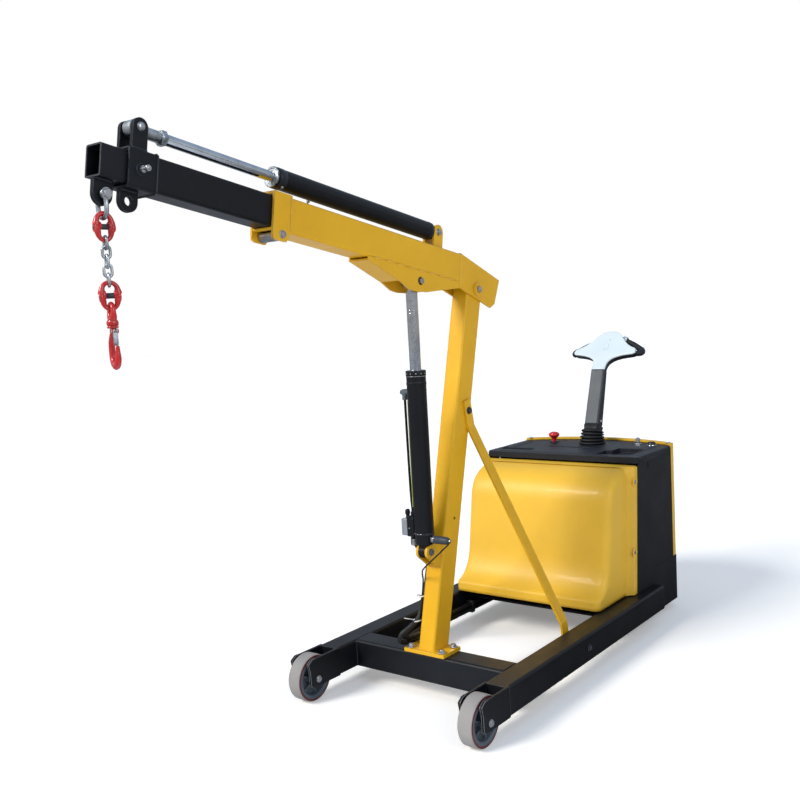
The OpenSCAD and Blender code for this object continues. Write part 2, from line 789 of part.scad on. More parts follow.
// A thumb wheel with a lever on each side of the head, turning on the grips
module throttle_paddle() color(silver) at_tiller_head() translate([0, grip_v, -34])
    for (m = [-1, 1]) translate([m * 45, 0, 0]) {
        rotate([0, 90, 0]) difference() {
            cylinder(r = 16, h = 12, center = true, $fn = 48);
            cylinder(r = 11.2, h = 14, center = true, $fn = 48);
        }
        translate([-6, 13, -5]) cube([12, 17, 10]);
    }

module belly_button() color(red) at_tiller_head() {
    translate([-12, 202, -39.8]) cube([24, 12, 16]);
    translate([-16, 212, -42]) cube([32, 15, 20.5]);
}

module horn_button() color("#2a2d31") at_tiller_head() translate([0, 171, -6]) {
    cylinder(r = 8, h = 7.5, $fn = 48);
    translate([0, 0, 7.4]) cylinder(r = 7, h = 1.6, $fn = 48);
}

module lift_rocker() color("#2a2d31") at_tiller_head() translate([0, 128, -5.5]) {
    x_rod(2, -12, 12, 32);
    translate([-9, -14, 0.5]) cube([18, 28, 5.5]);
}

// Bellows round the tiller's foot: a stack of ridges that leans with the arm
module tiller_boot() color(rubber) difference() {
    union() {
        for (i = [0:4]) translate([0, steer_y + 3.4 * i, cabinet_top + 0.4 + 11.5 * i]) {
            r = 55 - 1.5 * i;
            rotate_extrude($fn = 96) polygon([[0, 0], [r - 5, 0], [r, 5.8], [r - 5, 11.6], [0, 11.6]]);
        }
        translate([0, steer_y, cabinet_top - 16]) cylinder(r = 46, h = 17, $fn = 96);
    }
    // hollow for the neck and the hinge
    translate([0, steer_y, cabinet_top - 18]) cylinder(r = 38, h = 30, $fn = 64);
    translate([-31, steer_y - 18, cabinet_top - 18]) cube([62, 36, 59]);
    at_tiller() translate([-23, -20, -6]) cube([46, 40, 80]);
    at_tiller() translate([-40, -60, arm_from - 0.6]) cube([80, 130, 80]);
}

// ---- boom ----

module outer_boom() color(paint_yellow) difference() {
    union() {
        at_boom() translate([0, 0, tube_mid]) box_tube(2 * boom_half, outer_h, outer_len, wall, 8);
        // cheek plates and top plate of the rear head
        at_head() {
            side_plates(boom_half - cheek_t - 0.4, cheek_t + 0.8) polygon([
                [-6, 0], [head_len, 0], [head_len - 5, -head_depth + 22],
                [head_len - 27, -head_depth], [21, -head_depth], [0, -40]
            ]);
            translate([-boom_half + 1, 0, -6]) cube([2 * boom_half - 2, head_len, 6]);
        }
        // side gussets that carry the lift ram
        at_boom() side_plates(boom_half - cheek_t, cheek_t - 0.4) polygon([
            [-490, -outer_h + 1], [-490, -outer_h - 10], [-334, -146], [-284, -165],
            [-250, -167], [-184, -160], [-117, -144], [-4, -119], [8, -60], [-20, -outer_h + 1]
        ]);
        // plates that close the gussets below, in front of the lift ram and behind it
        at_boom() side_plate(-34.2, 68.4) {
            polygon([[-488, -109], [-334, -146.5], [-330, -141], [-488, -103]]);
            polygon([[-117, -144.5], [-18, -122.6], [-18, -118], [-117, -139.9]]);
        }
        // washers welded on at the boom pivot
        at_pivot() for (x = [-1, 1]) x_rod(24, x > 0 ? boom_half - 1 : -boom_half - 6,
            x > 0 ? boom_half + 6 : -boom_half + 1);
        // front collar with the tabs of the roller
        at_boom() {
            difference() {
                side_plate(-boom_half - 4, 2 * boom_half + 8) polygon([
                    [-outer_len - 1, 4], [-832, 4], [-832, -outer_h], [-838, -outer_h - 20],
                    [-844, -outer_h - 28], [-884, -outer_h - 28], [-outer_len + 3, -outer_h - 20],
                    [-outer_len - 1, -outer_h - 8]
                ]);
                translate([-roller_half - 0.5, -outer_len - 10, -outer_h - 40])
                    cube([2 * roller_half + 1, 100, outer_h + 36.5]);
            }
        }
        // rear lugs of the reach cylinder
        at_boom() side_plates(15, 8) union() {
            translate([-reach_rear, reach_h]) circle(25, $fn = 64);
            translate([-reach_rear - 25, -1]) square([50, reach_h + 1]);
        }
    }
    at_pivot() x_rod(pivot_r, -80, 80);
    at_boom(reach_rear, reach_h) x_rod(10, -40, 40);
    at_boom(roller_s, roller_h) x_rod(8, -60, 60);
    // window for the roller in the tube's floor
    at_boom() translate([-roller_half - 0.5, -roller_s - 19, -outer_h - 3])
        cube([2 * roller_half + 1, 38, 12]);
    translate([0, ram_y, ram_top_z]) x_rod(ram_pin_r, -60, 60);
}

module boom_pins() color(zinc) {
    at_pivot() {
        x_rod(pivot_r, -boom_half - 6, boom_half + 6);
        for (x = [-1, 1]) translate([x * (boom_half + 11), 0, 0]) rotate([0, 90, 0])
            cylinder(r = 17, h = 10, center = true, $fn = 6);
    }
    at_boom(roller_s, roller_h) x_rod(8, -boom_half - 7, boom_half + 7);
    at_boom(reach_rear, reach_h) {
        x_rod(10, -24, 24);
        for (x = [-1, 1]) translate([x * 27, 0, 0]) rotate([0, 90, 0])
            cylinder(r = 14, h = 8, center = true, $fn = 6);
    }
    // the two stub bolts of the lift ram, one through each gusset
    translate([0, ram_y, ram_top_z]) for (x = [-1, 1]) {
        x_rod(ram_pin_r, x > 0 ? boom_half - cheek_t : -boom_half - 3,
            x > 0 ? boom_half + 3 : -boom_half + cheek_t);
        translate([x * (boom_half + 4.5), 0, 0]) rotate([0, 90, 0])
            cylinder(r = 16, h = 9, center = true, $fn = 6);
    }
}

module boom_roller() color(steel) at_boom(roller_s, roller_h) difference() {
    x_rod(roller_r, -roller_half, roller_half, 64);
    x_rod(8 + run, -boom_half, boom_half);
}

// Cylinder tube along the boom, closed behind by an eye, open in front at its gland
module reach_barrel() color(paint_black) at_boom(0, reach_h) difference() {
    union() {
        translate([0, -reach_rear - 30, 0]) rotate([90, 0, 0])
            cylinder(r = reach_r, h = reach_front - reach_rear - 30, $fn = 64);
        translate([0, -reach_rear, 0]) x_rod(20, -14, 14);
        translate([-14, -reach_rear - 34, -16]) cube([28, 34, 32]);
    }
    translate([0, -reach_rear, 0]) x_rod(10, -40, 40);
    translate([0, -reach_rear - 44, 0]) rotate([90, 0, 0]) cylinder(r = 24, h = 690, $fn = 64);
    translate([0, -reach_front + 40, 0]) rotate([90, 0, 0])
        cylinder(r = reach_rod_r + run, h = 60, $fn = 64);
}

reach_out = 345;            // piston travel used at rest
module reach_rod() color(steel) at_boom(0, reach_h) {
    translate([0, -reach_rear - 50 - reach_out, 0]) rotate([90, 0, 0])
        cylinder(r = 24 - run, h = 30, $fn = 64);
    translate([0, -reach_rear - 60 - reach_out, 0]) rotate([90, 0, 0])
        cylinder(r = reach_rod_r, h = reach_eye_s - reach_rear - 76 - reach_out, $fn = 64);
    // lock nut, screwed eye and the pin through the lugs
    translate([0, -reach_eye_s + 88, 0]) rotate([90, 0, 0]) cylinder(r = 19, h = 14, $fn = 6);
    translate([0, -reach_eye_s + 74, 0]) rotate([90, 0, 0]) cylinder(r = 13, h = 60, $fn = 48);
    translate([0, -reach_eye_s, 0]) {
        x_rod(20, -14, 14);
        x_rod(10, -33, 33);
        for (x = [-1, 1]) translate([x * 33, 0, 0]) x_rod(14, -3, 3);
    }
}

module hook_lug(s, top) {
    side_plate(-6, 12) difference() {
        union() {
            translate([-s, lug_drop]) circle(lug_r, $fn = 64);
            translate([-s - lug_r, lug_drop]) square([2 * lug_r, top - lug_drop]);
        }
        translate([-s, lug_drop]) circle(s == tip_lug_s ? 8 + run : 11, $fn = 48);
    }
}

module inner_boom() color(paint_black) at_boom() difference() {
    union() {
        translate([0, -inner_tail, tube_mid])
            box_tube(2 * inner_half, inner_h, inner_end - inner_tail, 4, 8);
        // end collar
        translate([0, -1275, tube_mid])
            box_tube(2 * inner_half + 7, inner_h + 8, inner_end - 1272, 4.5, 8);
        // lugs of the reach cylinder's rod and of the hook
        side_plates(20, 10) union() {
            translate([-reach_eye_s, reach_h]) circle(21, $fn = 64);
            translate([-reach_eye_s - 21, -4]) square([42, reach_h + 4]);
        }
        hook_lug(collar_lug_s, inner_top - inner_h - 2);
        // boss of the lock screw
        translate([inner_half + 2, -1319, tube_mid]) x_rod(12, 0, 8, 48);
    }
    translate([inner_half - 10, -1319, tube_mid]) x_rod(6 + run, 0, 30, 48);
    translate([0, -reach_eye_s, reach_h]) x_rod(10, -40, 40);
}

module lock_screw() color(zinc) at_boom(1319, tube_mid) {
    x_rod(6, tip_half + 0.3, 58, 48);
    translate([58, 0, 0]) rotate([0, 90, 0]) hex_head(11, 9);
}

module tip_tube() color(paint_black) at_boom() {
    translate([0, -tip_tail, tube_mid]) box_tube(2 * tip_half, tip_h, tip_end - tip_tail, 4, 6);
    hook_lug(tip_lug_s, tube_mid - tip_h / 2 + 1);
}

// ---- lift ram ----

module lift_barrel() color(paint_black) translate([0, ram_y, 0]) difference() {
    union() {
        translate([0, 0, 563]) cylinder(r = ram_r, h = barrel_top - 563, $fn = 96);
        translate([0, 0, 528]) cylinder(r = ram_r - 1, h = 36, $fn = 96);
        translate([0, 0, 561]) cylinder(r = ram_r + 1, h = 5, $fn = 96);
        translate([0, 0, ram_foot_z]) x_rod(22, -13, 13);
        translate([-13, -18, ram_foot_z + 10]) cube([26, 36, 19]);
    }
    translate([0, 0, ram_foot_z]) x_rod(ram_pin_r + run, -40, 40);
    translate([0, 0, 566]) cylinder(r = 27, h = 514, $fn = 64);
    translate([0, 0, 1070]) cylinder(r = ram_rod_r + run, h = 60, $fn = 64);
}

// Valve block, pipe to the gland end, solenoid and fittings, all fixed to the barrel
module lift_valve() color("#3c4046") translate([0, ram_y, 0]) {
    difference() {
        translate([-ram_r - 30, -16, 549]) cube([34, 32, 62]);
        translate([0, 0, 540]) cylinder(r = ram_r + 1.05, h = 80, $fn = 96);
    }
    translate([-ram_r - 52, -14, 551]) cube([24, 28, 57]);
    translate([-ram_r - 10, 0, 610]) cylinder(r = 7, h = 26, $fn = 24);
    translate([-ram_r - 10, 0, 630]) cylinder(r = 4, h = 400, $fn = 24);
    translate([-ram_r - 10, 0, 1028]) sphere(r = 9, $fn = 32);
    translate([-ram_r, 0, 1028]) x_rod(7, -18, -0.1, 24);
    translate([0, 0, 545]) x_rod(12, ram_r - 1, ram_r + 74, 48);
    translate([0, 0, 545]) x_rod(15, ram_r + 0.5, ram_r + 7, 6);
}

module lift_rod() color(steel) {
    piston_z = 770;
    translate([0, ram_y, 0]) {
        translate([0, 0, piston_z]) cylinder(r = 27 - run, h = 30, $fn = 64);
        translate([0, 0, piston_z]) cylinder(r = ram_rod_r, h = ram_top_z - 14 - piston_z, $fn = 64);
        translate([0, 0, 1296]) cylinder(r = ram_rod_r + 2, h = 8, $fn = 64);
        translate([0, 0, ram_top_z]) x_rod(22, -20, 20);
        translate([0, 0, ram_top_z]) x_rod(ram_pin_r, -33, 33);
    }
}

// ---- chain and hook ----

module at_chain(z, n = 0) translate([0, chain_y, z]) rotate([0, 0, 80 - twist_step * n]) children();

module shackle() color(zinc) translate([0, chain_y, shackle_z]) {
    x_rod(8, -20, 22);
    translate([22, 0, 0]) x_rod(11, 0, 7);
    // ears, legs and bow
    for (x = [-1, 1]) {
        translate([x * 14.5, 0, 0]) x_rod(12, -5.5, 5.5);
        translate([x * 15, 0, -bow_drop + 15]) cylinder(r = bow_wire, h = bow_drop - 20, $fn = 32);
    }
    translate([0, 0, -bow_drop + 15]) rotate([90, 0, 0]) rotate([0, 0, 180])
        rotate_extrude(angle = 180, $fn = 64) translate([15, 0]) circle(bow_wire, $fn = 32);
}

// Two half links joined by a cross pin
module connector(z, n) color(red) at_chain(z, n) {
    oval_ring(conn_len, 17.5, conn_wire);
    translate([0, 0, -conn_len / 2]) x_rod(5, -24, 24, 32);
    for (x = [-1, 1]) translate([x * 18, 0, -conn_len / 2 - 9]) cylinder(r = 8, h = 18, $fn = 32);
}

module link(i) color(zinc) at_chain(link1_z - (i - 1) * step, i)
    oval_ring(link_len, chain_wire * 1.28, wire_r);

module connector_upper() connector(conn1_z, 0);
module connector_lower() connector(conn2_z, 6);
module link_1() link(1);
module link_2() link(2);
module link_3() link(3);
module link_4() link(4);
module link_5() link(5);

hook_bend_r = 24;
hook_stock = 8.5;
hook_t = 15;
hook_neck = -54;
hook_crook = hook_neck - 2 * hook_bend_r * sin(60);
bowl_z = -118;
latch_x = 14;
latch_z = -62;

// Part of a flat ring between two angles less than 180 degrees apart
module ring_sector(a0, a1) intersection() {
    difference() {
        circle(hook_bend_r + hook_stock, $fn = 96);
        circle(hook_bend_r - hook_stock, $fn = 96);
    }
    polygon([
        [0, 0], 60 * [cos(a0), sin(a0)], 60 * [cos((a0 + a1) / 2), sin((a0 + a1) / 2)],
        60 * [cos(a1), sin(a1)]
    ]);
}

// The back of the hook bends out, runs down and turns up into the point
module hook_outline() {
    translate([0, hook_neck / 2 - 18]) square([2 * hook_stock, -hook_neck - 35.8], center = true);
    translate([-hook_bend_r, hook_neck]) ring_sector(-60, 0.2);
    translate([0, hook_crook]) ring_sector(119.8, 180.2);
    translate([-hook_bend_r - hook_stock, bowl_z - tiny])
        square([2 * hook_stock, hook_crook - bowl_z + 2 * tiny]);
    translate([0, bowl_z]) {
        ring_sector(180, 271);
        ring_sector(269, 360);
        polygon([
            [hook_bend_r - hook_stock, -tiny], [hook_bend_r + hook_stock, -tiny],
            [hook_bend_r + 5, 22], [hook_bend_r - 5, 22]
        ]);
        translate([hook_bend_r, 21]) circle(5, $fn = 32);
    }
}

module at_hook() at_chain(hook_z, 7) rotate([0, 0, hook_turn]) children();

module hook() color(red) at_hook() {
    oval_ring(34, 15, hook_wire);
    rotate([90, 0, 0]) linear_extrude(hook_t, center = true) hook_outline();
    translate([0, 0, hook_neck + 4]) cylinder(r = 12, h = 10, $fn = 48);
    // ears of the latch's pin
    difference() {
        for (y = [-1, 1]) translate([0, y * 6.5, 0]) rotate([90, 0, 0])
            linear_extrude(2, center = true) {
                translate([latch_x, latch_z]) circle(5, $fn = 48);
                translate([0, latch_z - 5]) square([latch_x, 10]);
            }
        translate([latch_x, 0, latch_z]) rotate([90, 0, 0])
            cylinder(r = 2.5 + run, h = 30, center = true, $fn = 32);
    }
}

module hook_latch() color(steel) at_hook() translate([latch_x, 0, latch_z]) {
    rotate([90, 0, 0]) cylinder(r = 2.5, h = 15, center = true, $fn = 32);
    rotate([90, 0, 0]) cylinder(r = 4, h = 10, center = true, $fn = 32);
    rotate([0, -6, 0]) translate([-1.2, -4.5, -33]) cube([2.4, 9, 33]);
}

// ---- the assembly ----

base_frame();
rear_skirt();
mast();
frame_bolts();
braces();
front_axles();
front_hood();
cover_screws();
top_cover();
side_panels();
rear_cover();
battery_pack();
counterweight();
pump_unit();
hydraulic_hoses();
ram_foot_pin();
panel_sockets();
front_hub_left();
front_tyre_left();
front_hub_right();
front_tyre_right();
caster_fork_left();
caster_wheel_left();
caster_fork_right();
caster_wheel_right();
steer_column();
drive_motor();
drive_hub();
drive_tyre();
tiller_arm();
tiller_head();
tiller_grips();
tiller_boot();
throttle_paddle();
belly_button();
horn_button();
lift_rocker();
stop_button();
ignition_key();
outer_boom();
boom_pins();
boom_roller();
reach_barrel();
inner_boom();
reach_rod();
lock_screw();
tip_tube();
lift_barrel();
lift_valve();
lift_rod();
shackle();
connector_upper();
link_1();
link_2();
link_3();
link_4();
link_5();
connector_lower();
hook();
hook_latch();
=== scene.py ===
import math
import random
import bmesh
import bpy
from mathutils import Matrix, Vector


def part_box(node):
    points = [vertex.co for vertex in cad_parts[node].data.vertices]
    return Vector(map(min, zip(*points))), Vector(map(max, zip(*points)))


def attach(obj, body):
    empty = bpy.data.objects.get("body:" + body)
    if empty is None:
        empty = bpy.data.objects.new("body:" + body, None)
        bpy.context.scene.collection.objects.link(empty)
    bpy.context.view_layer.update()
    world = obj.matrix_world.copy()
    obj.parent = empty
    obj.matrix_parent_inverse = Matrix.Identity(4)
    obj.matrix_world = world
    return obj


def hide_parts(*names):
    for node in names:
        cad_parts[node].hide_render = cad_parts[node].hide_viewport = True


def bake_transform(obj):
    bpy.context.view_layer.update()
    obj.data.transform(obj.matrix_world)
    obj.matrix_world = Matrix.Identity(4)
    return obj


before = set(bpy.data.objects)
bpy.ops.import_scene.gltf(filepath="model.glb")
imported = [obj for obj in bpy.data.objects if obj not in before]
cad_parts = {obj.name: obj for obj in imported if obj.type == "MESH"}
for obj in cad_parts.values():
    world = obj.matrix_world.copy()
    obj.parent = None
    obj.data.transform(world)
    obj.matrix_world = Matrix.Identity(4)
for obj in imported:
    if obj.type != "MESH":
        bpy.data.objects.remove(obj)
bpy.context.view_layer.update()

# Work coordinates: x across, y back from the middle of the mast's foot, z up, in millimetres
AXLE_TO_FOOT = 258
FOOT = sum(c.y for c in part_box("front_axles")) / 2 * 1000 + AXLE_TO_FOOT


def W(x, y, z):
    """A point of the work coordinates, in the row frame in metres."""
    return Vector((x, y + FOOT, z)) / 1000


def frame_at(origin, lean):
    """A frame turned about X by -lean degrees, with its origin in row millimetres."""
    return Matrix.Translation(Vector(origin) / 1000) @ Matrix.Rotation(math.radians(-lean), 4, "X")


BOOM_RISE, TILLER_LEAN, FACE_TILT = 9.5, 19.8, 64.8
BOOM = frame_at((0, FOOT + 225, 1487), BOOM_RISE)
TILLER = frame_at((0, FOOT + 1238, 713), TILLER_LEAN)
RAM_Y = -18
FACE = TILLER @ Matrix.Translation((0, -0.030, 0.304)) @ Matrix.Rotation(math.radians(FACE_TILT), 4, "X")


# ---------------------------------------------------------------- materials

def feed(nt, n, plugs):
    """Sets inputs of node n, or links them where the value is a socket."""
    for key, v in plugs:
        if isinstance(v, bpy.types.NodeSocket):
            nt.links.new(v, n.inputs[key])
        elif v is not None:
            alpha = isinstance(v, tuple) and len(v) == 3 and len(n.inputs[key].default_value) == 4
            n.inputs[key].default_value = (*v, 1) if alpha else v


def node(nt, kind, *inputs, **named):
    """A node. Lower-case names are its properties, the others its inputs, with _ for a space."""
    n = nt.nodes.new(kind)
    for k, v in named.items():
        if k[0].islower():
            setattr(n, k, v)
    feed(nt, n, [*enumerate(inputs), *((k.replace("_", " "), v) for k, v in named.items() if k[0].isupper())])
    return n


def new_material(name):
    m = bpy.data.materials.new(name)
    m.use_nodes = True
    m.node_tree.nodes.clear()
    bsdf = node(m.node_tree, "ShaderNodeBsdfPrincipled")
    node(m.node_tree, "ShaderNodeOutputMaterial", bsdf.outputs[0])
    return m, m.node_tree, bsdf


def noise(nt, scale, detail=4.0, rough=0.55, stretch=None):
    where = node(nt, "ShaderNodeTexCoord").outputs["Object"]
    if stretch:
        where = node(nt, "ShaderNodeMapping", Vector=where, Scale=stretch).outputs[0]
    return node(nt, "ShaderNodeTexNoise", Vector=where, Scale=scale, Detail=detail,
                Roughness=rough).outputs[0]


def ramp(nt, fac, stops):
    r = node(nt, "ShaderNodeValToRGB", fac)
    marks = r.color_ramp.elements
    while len(marks) < len(stops):
        marks.new(0.5)
    for mark, (place, colour) in zip(marks, stops):
        mark.position, mark.color = place, (*colour, 1)
    return r.outputs[0]


def mix(nt, fac, a, b):
    return node(nt, "ShaderNodeMix", fac, None, None, None, None, None, a, b, data_type="RGBA").outputs[2]


def clamped(nt, operation, a, b):
    return node(nt, "ShaderNodeMath", a, b, operation=operation, use_clamp=True).outputs[0]


def edge_mask(nt, radius, power=1.0):
    """White where the surface turns sharply within radius metres, and the rounded normal."""
    soft = node(nt, "ShaderNodeBevel", samples=4, Radius=radius).outputs[0]
    sharp = node(nt, "ShaderNodeNewGeometry").outputs["Normal"]
    dot = node(nt, "ShaderNodeVectorMath", soft, sharp, operation="DOT_PRODUCT").outputs["Value"]
    return clamped(nt, "MULTIPLY", clamped(nt, "SUBTRACT", 1.0, dot), 4.0 * power), soft


BLACK, WHITE, DUST = (0, 0, 0), (1, 1, 1), (0.42, 0.38, 0.32)


def rub_and_highlight_edges(nt, colour, mask, edge_wear_and_highlight, grain, low, high):
    """The colour with its masked edges lightened in patches: partly paint rubbed through, partly a painted
    highlight where the edges catch the sky.
    """
    patches = ramp(nt, grain, [(low, BLACK), (high, WHITE)])
    return mix(nt, clamped(nt, "MULTIPLY", mask, patches), colour, edge_wear_and_highlight)


def spread(nt, source, rough, less, more, least):
    """Roughness that wanders round its middle value."""
    return node(nt, "ShaderNodeMapRange", source, To_Min=max(rough - less, least),
                To_Max=rough + more).outputs[0]


def bump(nt, height, strength, distance, normal):
    return node(nt, "ShaderNodeBump", Height=height, Strength=strength, Distance=distance,
                Normal=normal).outputs[0]


def paint(name, base, dark, light, rough=0.32, coat=0.35, edge_wear_and_highlight=None, edge=0.0016, peel=0.25, shine=0.5):
    """Sprayed paint: slow tone changes, orange peel, thin lighter edges in patches (partly worn paint, partly
    a painted highlight), a little dust.
    """
    m, nt, bsdf = new_material(name)
    colour = ramp(nt, noise(nt, 3.2, 5, 0.6), [(0.3, dark), (0.52, base), (0.75, light)])
    mask, soft = edge_mask(nt, edge)
    # lighter edge patches: partly worn paint, partly a painted highlight of the sky on the edges
    if edge_wear_and_highlight:
        colour = rub_and_highlight_edges(nt, colour, mask, edge_wear_and_highlight, noise(nt, 55, 6, 0.7), 0.42, 0.6)
    dusty = ramp(nt, noise(nt, 14, 8, 0.75), [(0.62, BLACK), (0.9, (0.022, 0.022, 0.022))])
    feed(nt, bsdf, {
        "Base Color": mix(nt, dusty, colour, DUST),
        "Roughness": spread(nt, noise(nt, 9, 4, 0.6), rough, 0.09, 0.12, 0.04),
        "Specular IOR Level": shine, "Coat Weight": coat, "Coat Roughness": 0.12,
        "Normal": bump(nt, noise(nt, 420, 2, 0.5), peel, 0.0006, soft)}.items())
    return m


def metal(name, base, rough=0.3, brushed=None, grain=900, spot=0.25, edge=0.0008, dark=None):
    """Bare or plated metal with fine scratches, patchy stains and a soft edge."""
    m, nt, bsdf = new_material(name)
    low, high = dark or tuple(c * 0.55 for c in base), tuple(min(1, c * 1.12) for c in base)
    fine = noise(nt, grain, 3, 0.6, brushed)
    soft = node(nt, "ShaderNodeBevel", samples=4, Radius=edge).outputs[0]
    feed(nt, bsdf, {
        "Metallic": 1.0,
        "Base Color": ramp(nt, noise(nt, 22, 6, 0.7), [(0.34, low), (0.55, base), (0.8, high)]),
        "Roughness": spread(nt, fine, rough, 0.08, 0.14, 0.03),
        "Normal": bump(nt, fine, spot, 0.0002, soft)}.items())
    return m


def plastic(name, base, rough=0.4, grain=0.3, scale=1600, coat=0.0, tone=0.12, edge=0.0015, edge_wear_and_highlight=None,
            shine=0.5):
    """Moulded plastic or rubber: pebbled skin, slight tone drift, lighter high spots in patches, partly
    scuffs and partly a painted highlight.
    """
    m, nt, bsdf = new_material(name)
    low, high = tuple(c * (1 - tone) for c in base), tuple(min(1, c * (1 + tone)) for c in base)
    colour = ramp(nt, noise(nt, 5, 5, 0.6), [(0.3, low), (0.7, high)])
    mask, soft = edge_mask(nt, edge, 0.6)
    # lighter edge patches: partly scuffs, partly a painted highlight of the sky on the edges
    if edge_wear_and_highlight:
        colour = rub_and_highlight_edges(nt, colour, mask, edge_wear_and_highlight, noise(nt, 70, 7, 0.75), 0.5, 0.72)
    where = node(nt, "ShaderNodeTexCoord").outputs["Object"]
    pebbles = node(nt, "ShaderNodeTexVoronoi", Vector=where, Scale=scale).outputs["Distance"]
    feed(nt, bsdf, {
        "Base Color": colour,
        "Roughness": spread(nt, noise(nt, 30, 5, 0.6), rough, 0.08, 0.12, 0.04),
        "Specular IOR Level": shine, "Coat Weight": coat,
        "Normal": bump(nt, pebbles, grain, 0.0004, soft)}.items())
    return m


# the edge colours given below lighten the edges in patches: partly wear, partly a painted highlight where the
# edges catch the sky
M = {
    "yellow": paint("yellow_paint", (0.76, 0.405, 0.007), (0.70, 0.365, 0.006), (0.82, 0.455, 0.012),
                    rough=0.34, coat=0.12, edge_wear_and_highlight=(0.90, 0.66, 0.20), edge=0.0026, shine=0.3),
    "weld_yellow": paint("weld_yellow", (0.78, 0.45, 0.03), (0.66, 0.36, 0.02), (0.86, 0.56, 0.08),
                         rough=0.28, coat=0.4, peel=0.1),
    "black": paint("black_paint", (0.0055, 0.0065, 0.0085), (0.0040, 0.0047, 0.006), (0.009, 0.0105, 0.014),
                   rough=0.38, coat=0.0, edge_wear_and_highlight=(0.12, 0.13, 0.16), edge=0.0034, shine=0.26),
    "charcoal": paint("charcoal_panel", (0.0075, 0.0085, 0.0105), (0.006, 0.0068, 0.0085),
                      (0.011, 0.012, 0.015), rough=0.50, coat=0.0, edge_wear_and_highlight=(0.07, 0.075, 0.08), peel=0.5,
                      shine=0.22),
    "hood": plastic("yellow_hood", (0.81, 0.475, 0.030), rough=0.44, grain=0.10, scale=900, coat=0.08,
                    tone=0.05),
    "cover": plastic("black_cover", (0.010, 0.012, 0.018), rough=0.46, grain=0.5, scale=1300,
                     edge_wear_and_highlight=(0.08, 0.10, 0.14), shine=0.35),
    "rubber": plastic("black_rubber", (0.009, 0.009, 0.010), rough=0.55, grain=0.35, scale=1800,
                      edge_wear_and_highlight=(0.05, 0.05, 0.055), shine=0.35),
    "hose": plastic("hose_rubber", (0.008, 0.008, 0.009), rough=0.42, grain=0.5, scale=2600, shine=0.4),
    "black_plastic": plastic("black_plastic", (0.010, 0.011, 0.014), rough=0.36, grain=0.3, shine=0.4,
                             edge_wear_and_highlight=(0.06, 0.07, 0.09)),
    "red_plastic": plastic("red_plastic", (0.60, 0.012, 0.016), rough=0.30, grain=0.08, coat=0.4),
    "white_plastic": plastic("white_plastic", (0.75, 0.74, 0.70), rough=0.4, grain=0.1),
    "red": paint("red_lacquer", (0.52, 0.009, 0.010), (0.38, 0.006, 0.006), (0.64, 0.02, 0.02),
                 rough=0.30, coat=0.5, edge_wear_and_highlight=(0.75, 0.22, 0.18), edge=0.0012),
    "tread": plastic("grey_tread", (0.30, 0.285, 0.275), rough=0.55, grain=0.35, scale=700, tone=0.2,
                     edge_wear_and_highlight=(0.40, 0.40, 0.38), shine=0.3),
    "tread_side": plastic("red_band", (0.14, 0.022, 0.020), rough=0.45, grain=0.2, scale=900, tone=0.25,
                          shine=0.4),
    "hub": paint("cast_hub", (0.085, 0.105, 0.125), (0.050, 0.062, 0.076), (0.13, 0.155, 0.18),
                 rough=0.42, coat=0.05, edge_wear_and_highlight=(0.35, 0.37, 0.38), peel=1.2, shine=0.4),
    "zinc": metal("zinc_plate", (0.60, 0.61, 0.62), rough=0.30),
    "galvanised": metal("galvanised", (0.60, 0.63, 0.65), rough=0.36, spot=0.6, dark=(0.25, 0.27, 0.28)),
    "steel": metal("turned_steel", (0.50, 0.51, 0.52), rough=0.34, brushed=(1, 8, 8)),
    "chrome": metal("chrome_rod", (0.74, 0.77, 0.80), rough=0.10, spot=0.03, grain=300,
                    dark=(0.55, 0.58, 0.62)),
    "silver": plastic("silver_paint", (0.62, 0.70, 0.74), rough=0.30, grain=0.08, scale=900, coat=0.2,
                      tone=0.05, edge=0.002),
    "arm": paint("tiller_grey", (0.040, 0.050, 0.062), (0.032, 0.040, 0.050), (0.055, 0.068, 0.080),
                 rough=0.42, coat=0.0, peel=0.6, edge_wear_and_highlight=(0.16, 0.20, 0.23), shine=0.4),
    "cast": metal("cast_iron", (0.16, 0.16, 0.165), rough=0.62, spot=1.4, grain=250),
    "weld_black": paint("weld_black", (0.013, 0.015, 0.020), (0.009, 0.010, 0.013), (0.025, 0.028, 0.035),
                        rough=0.34, coat=0.1, edge_wear_and_highlight=(0.14, 0.15, 0.16), shine=0.4),
    "slate": paint("slate_can", (0.040, 0.048, 0.060), (0.028, 0.034, 0.044), (0.060, 0.072, 0.088),
                   rough=0.45, coat=0.0, edge_wear_and_highlight=(0.16, 0.18, 0.2), shine=0.4),
    "earth_green": plastic("earth_wire_skin", (0.42, 0.46, 0.05), rough=0.4, grain=0.1),
    "worn_edge": metal("worn_edge", (0.42, 0.42, 0.40), rough=0.5, spot=1.0),
    "dark_metal": paint("dark_metal", (0.024, 0.028, 0.033), (0.014, 0.016, 0.020), (0.040, 0.045, 0.05),
                        rough=0.4, coat=0.05, edge_wear_and_highlight=(0.22, 0.22, 0.22), shine=0.45),
}

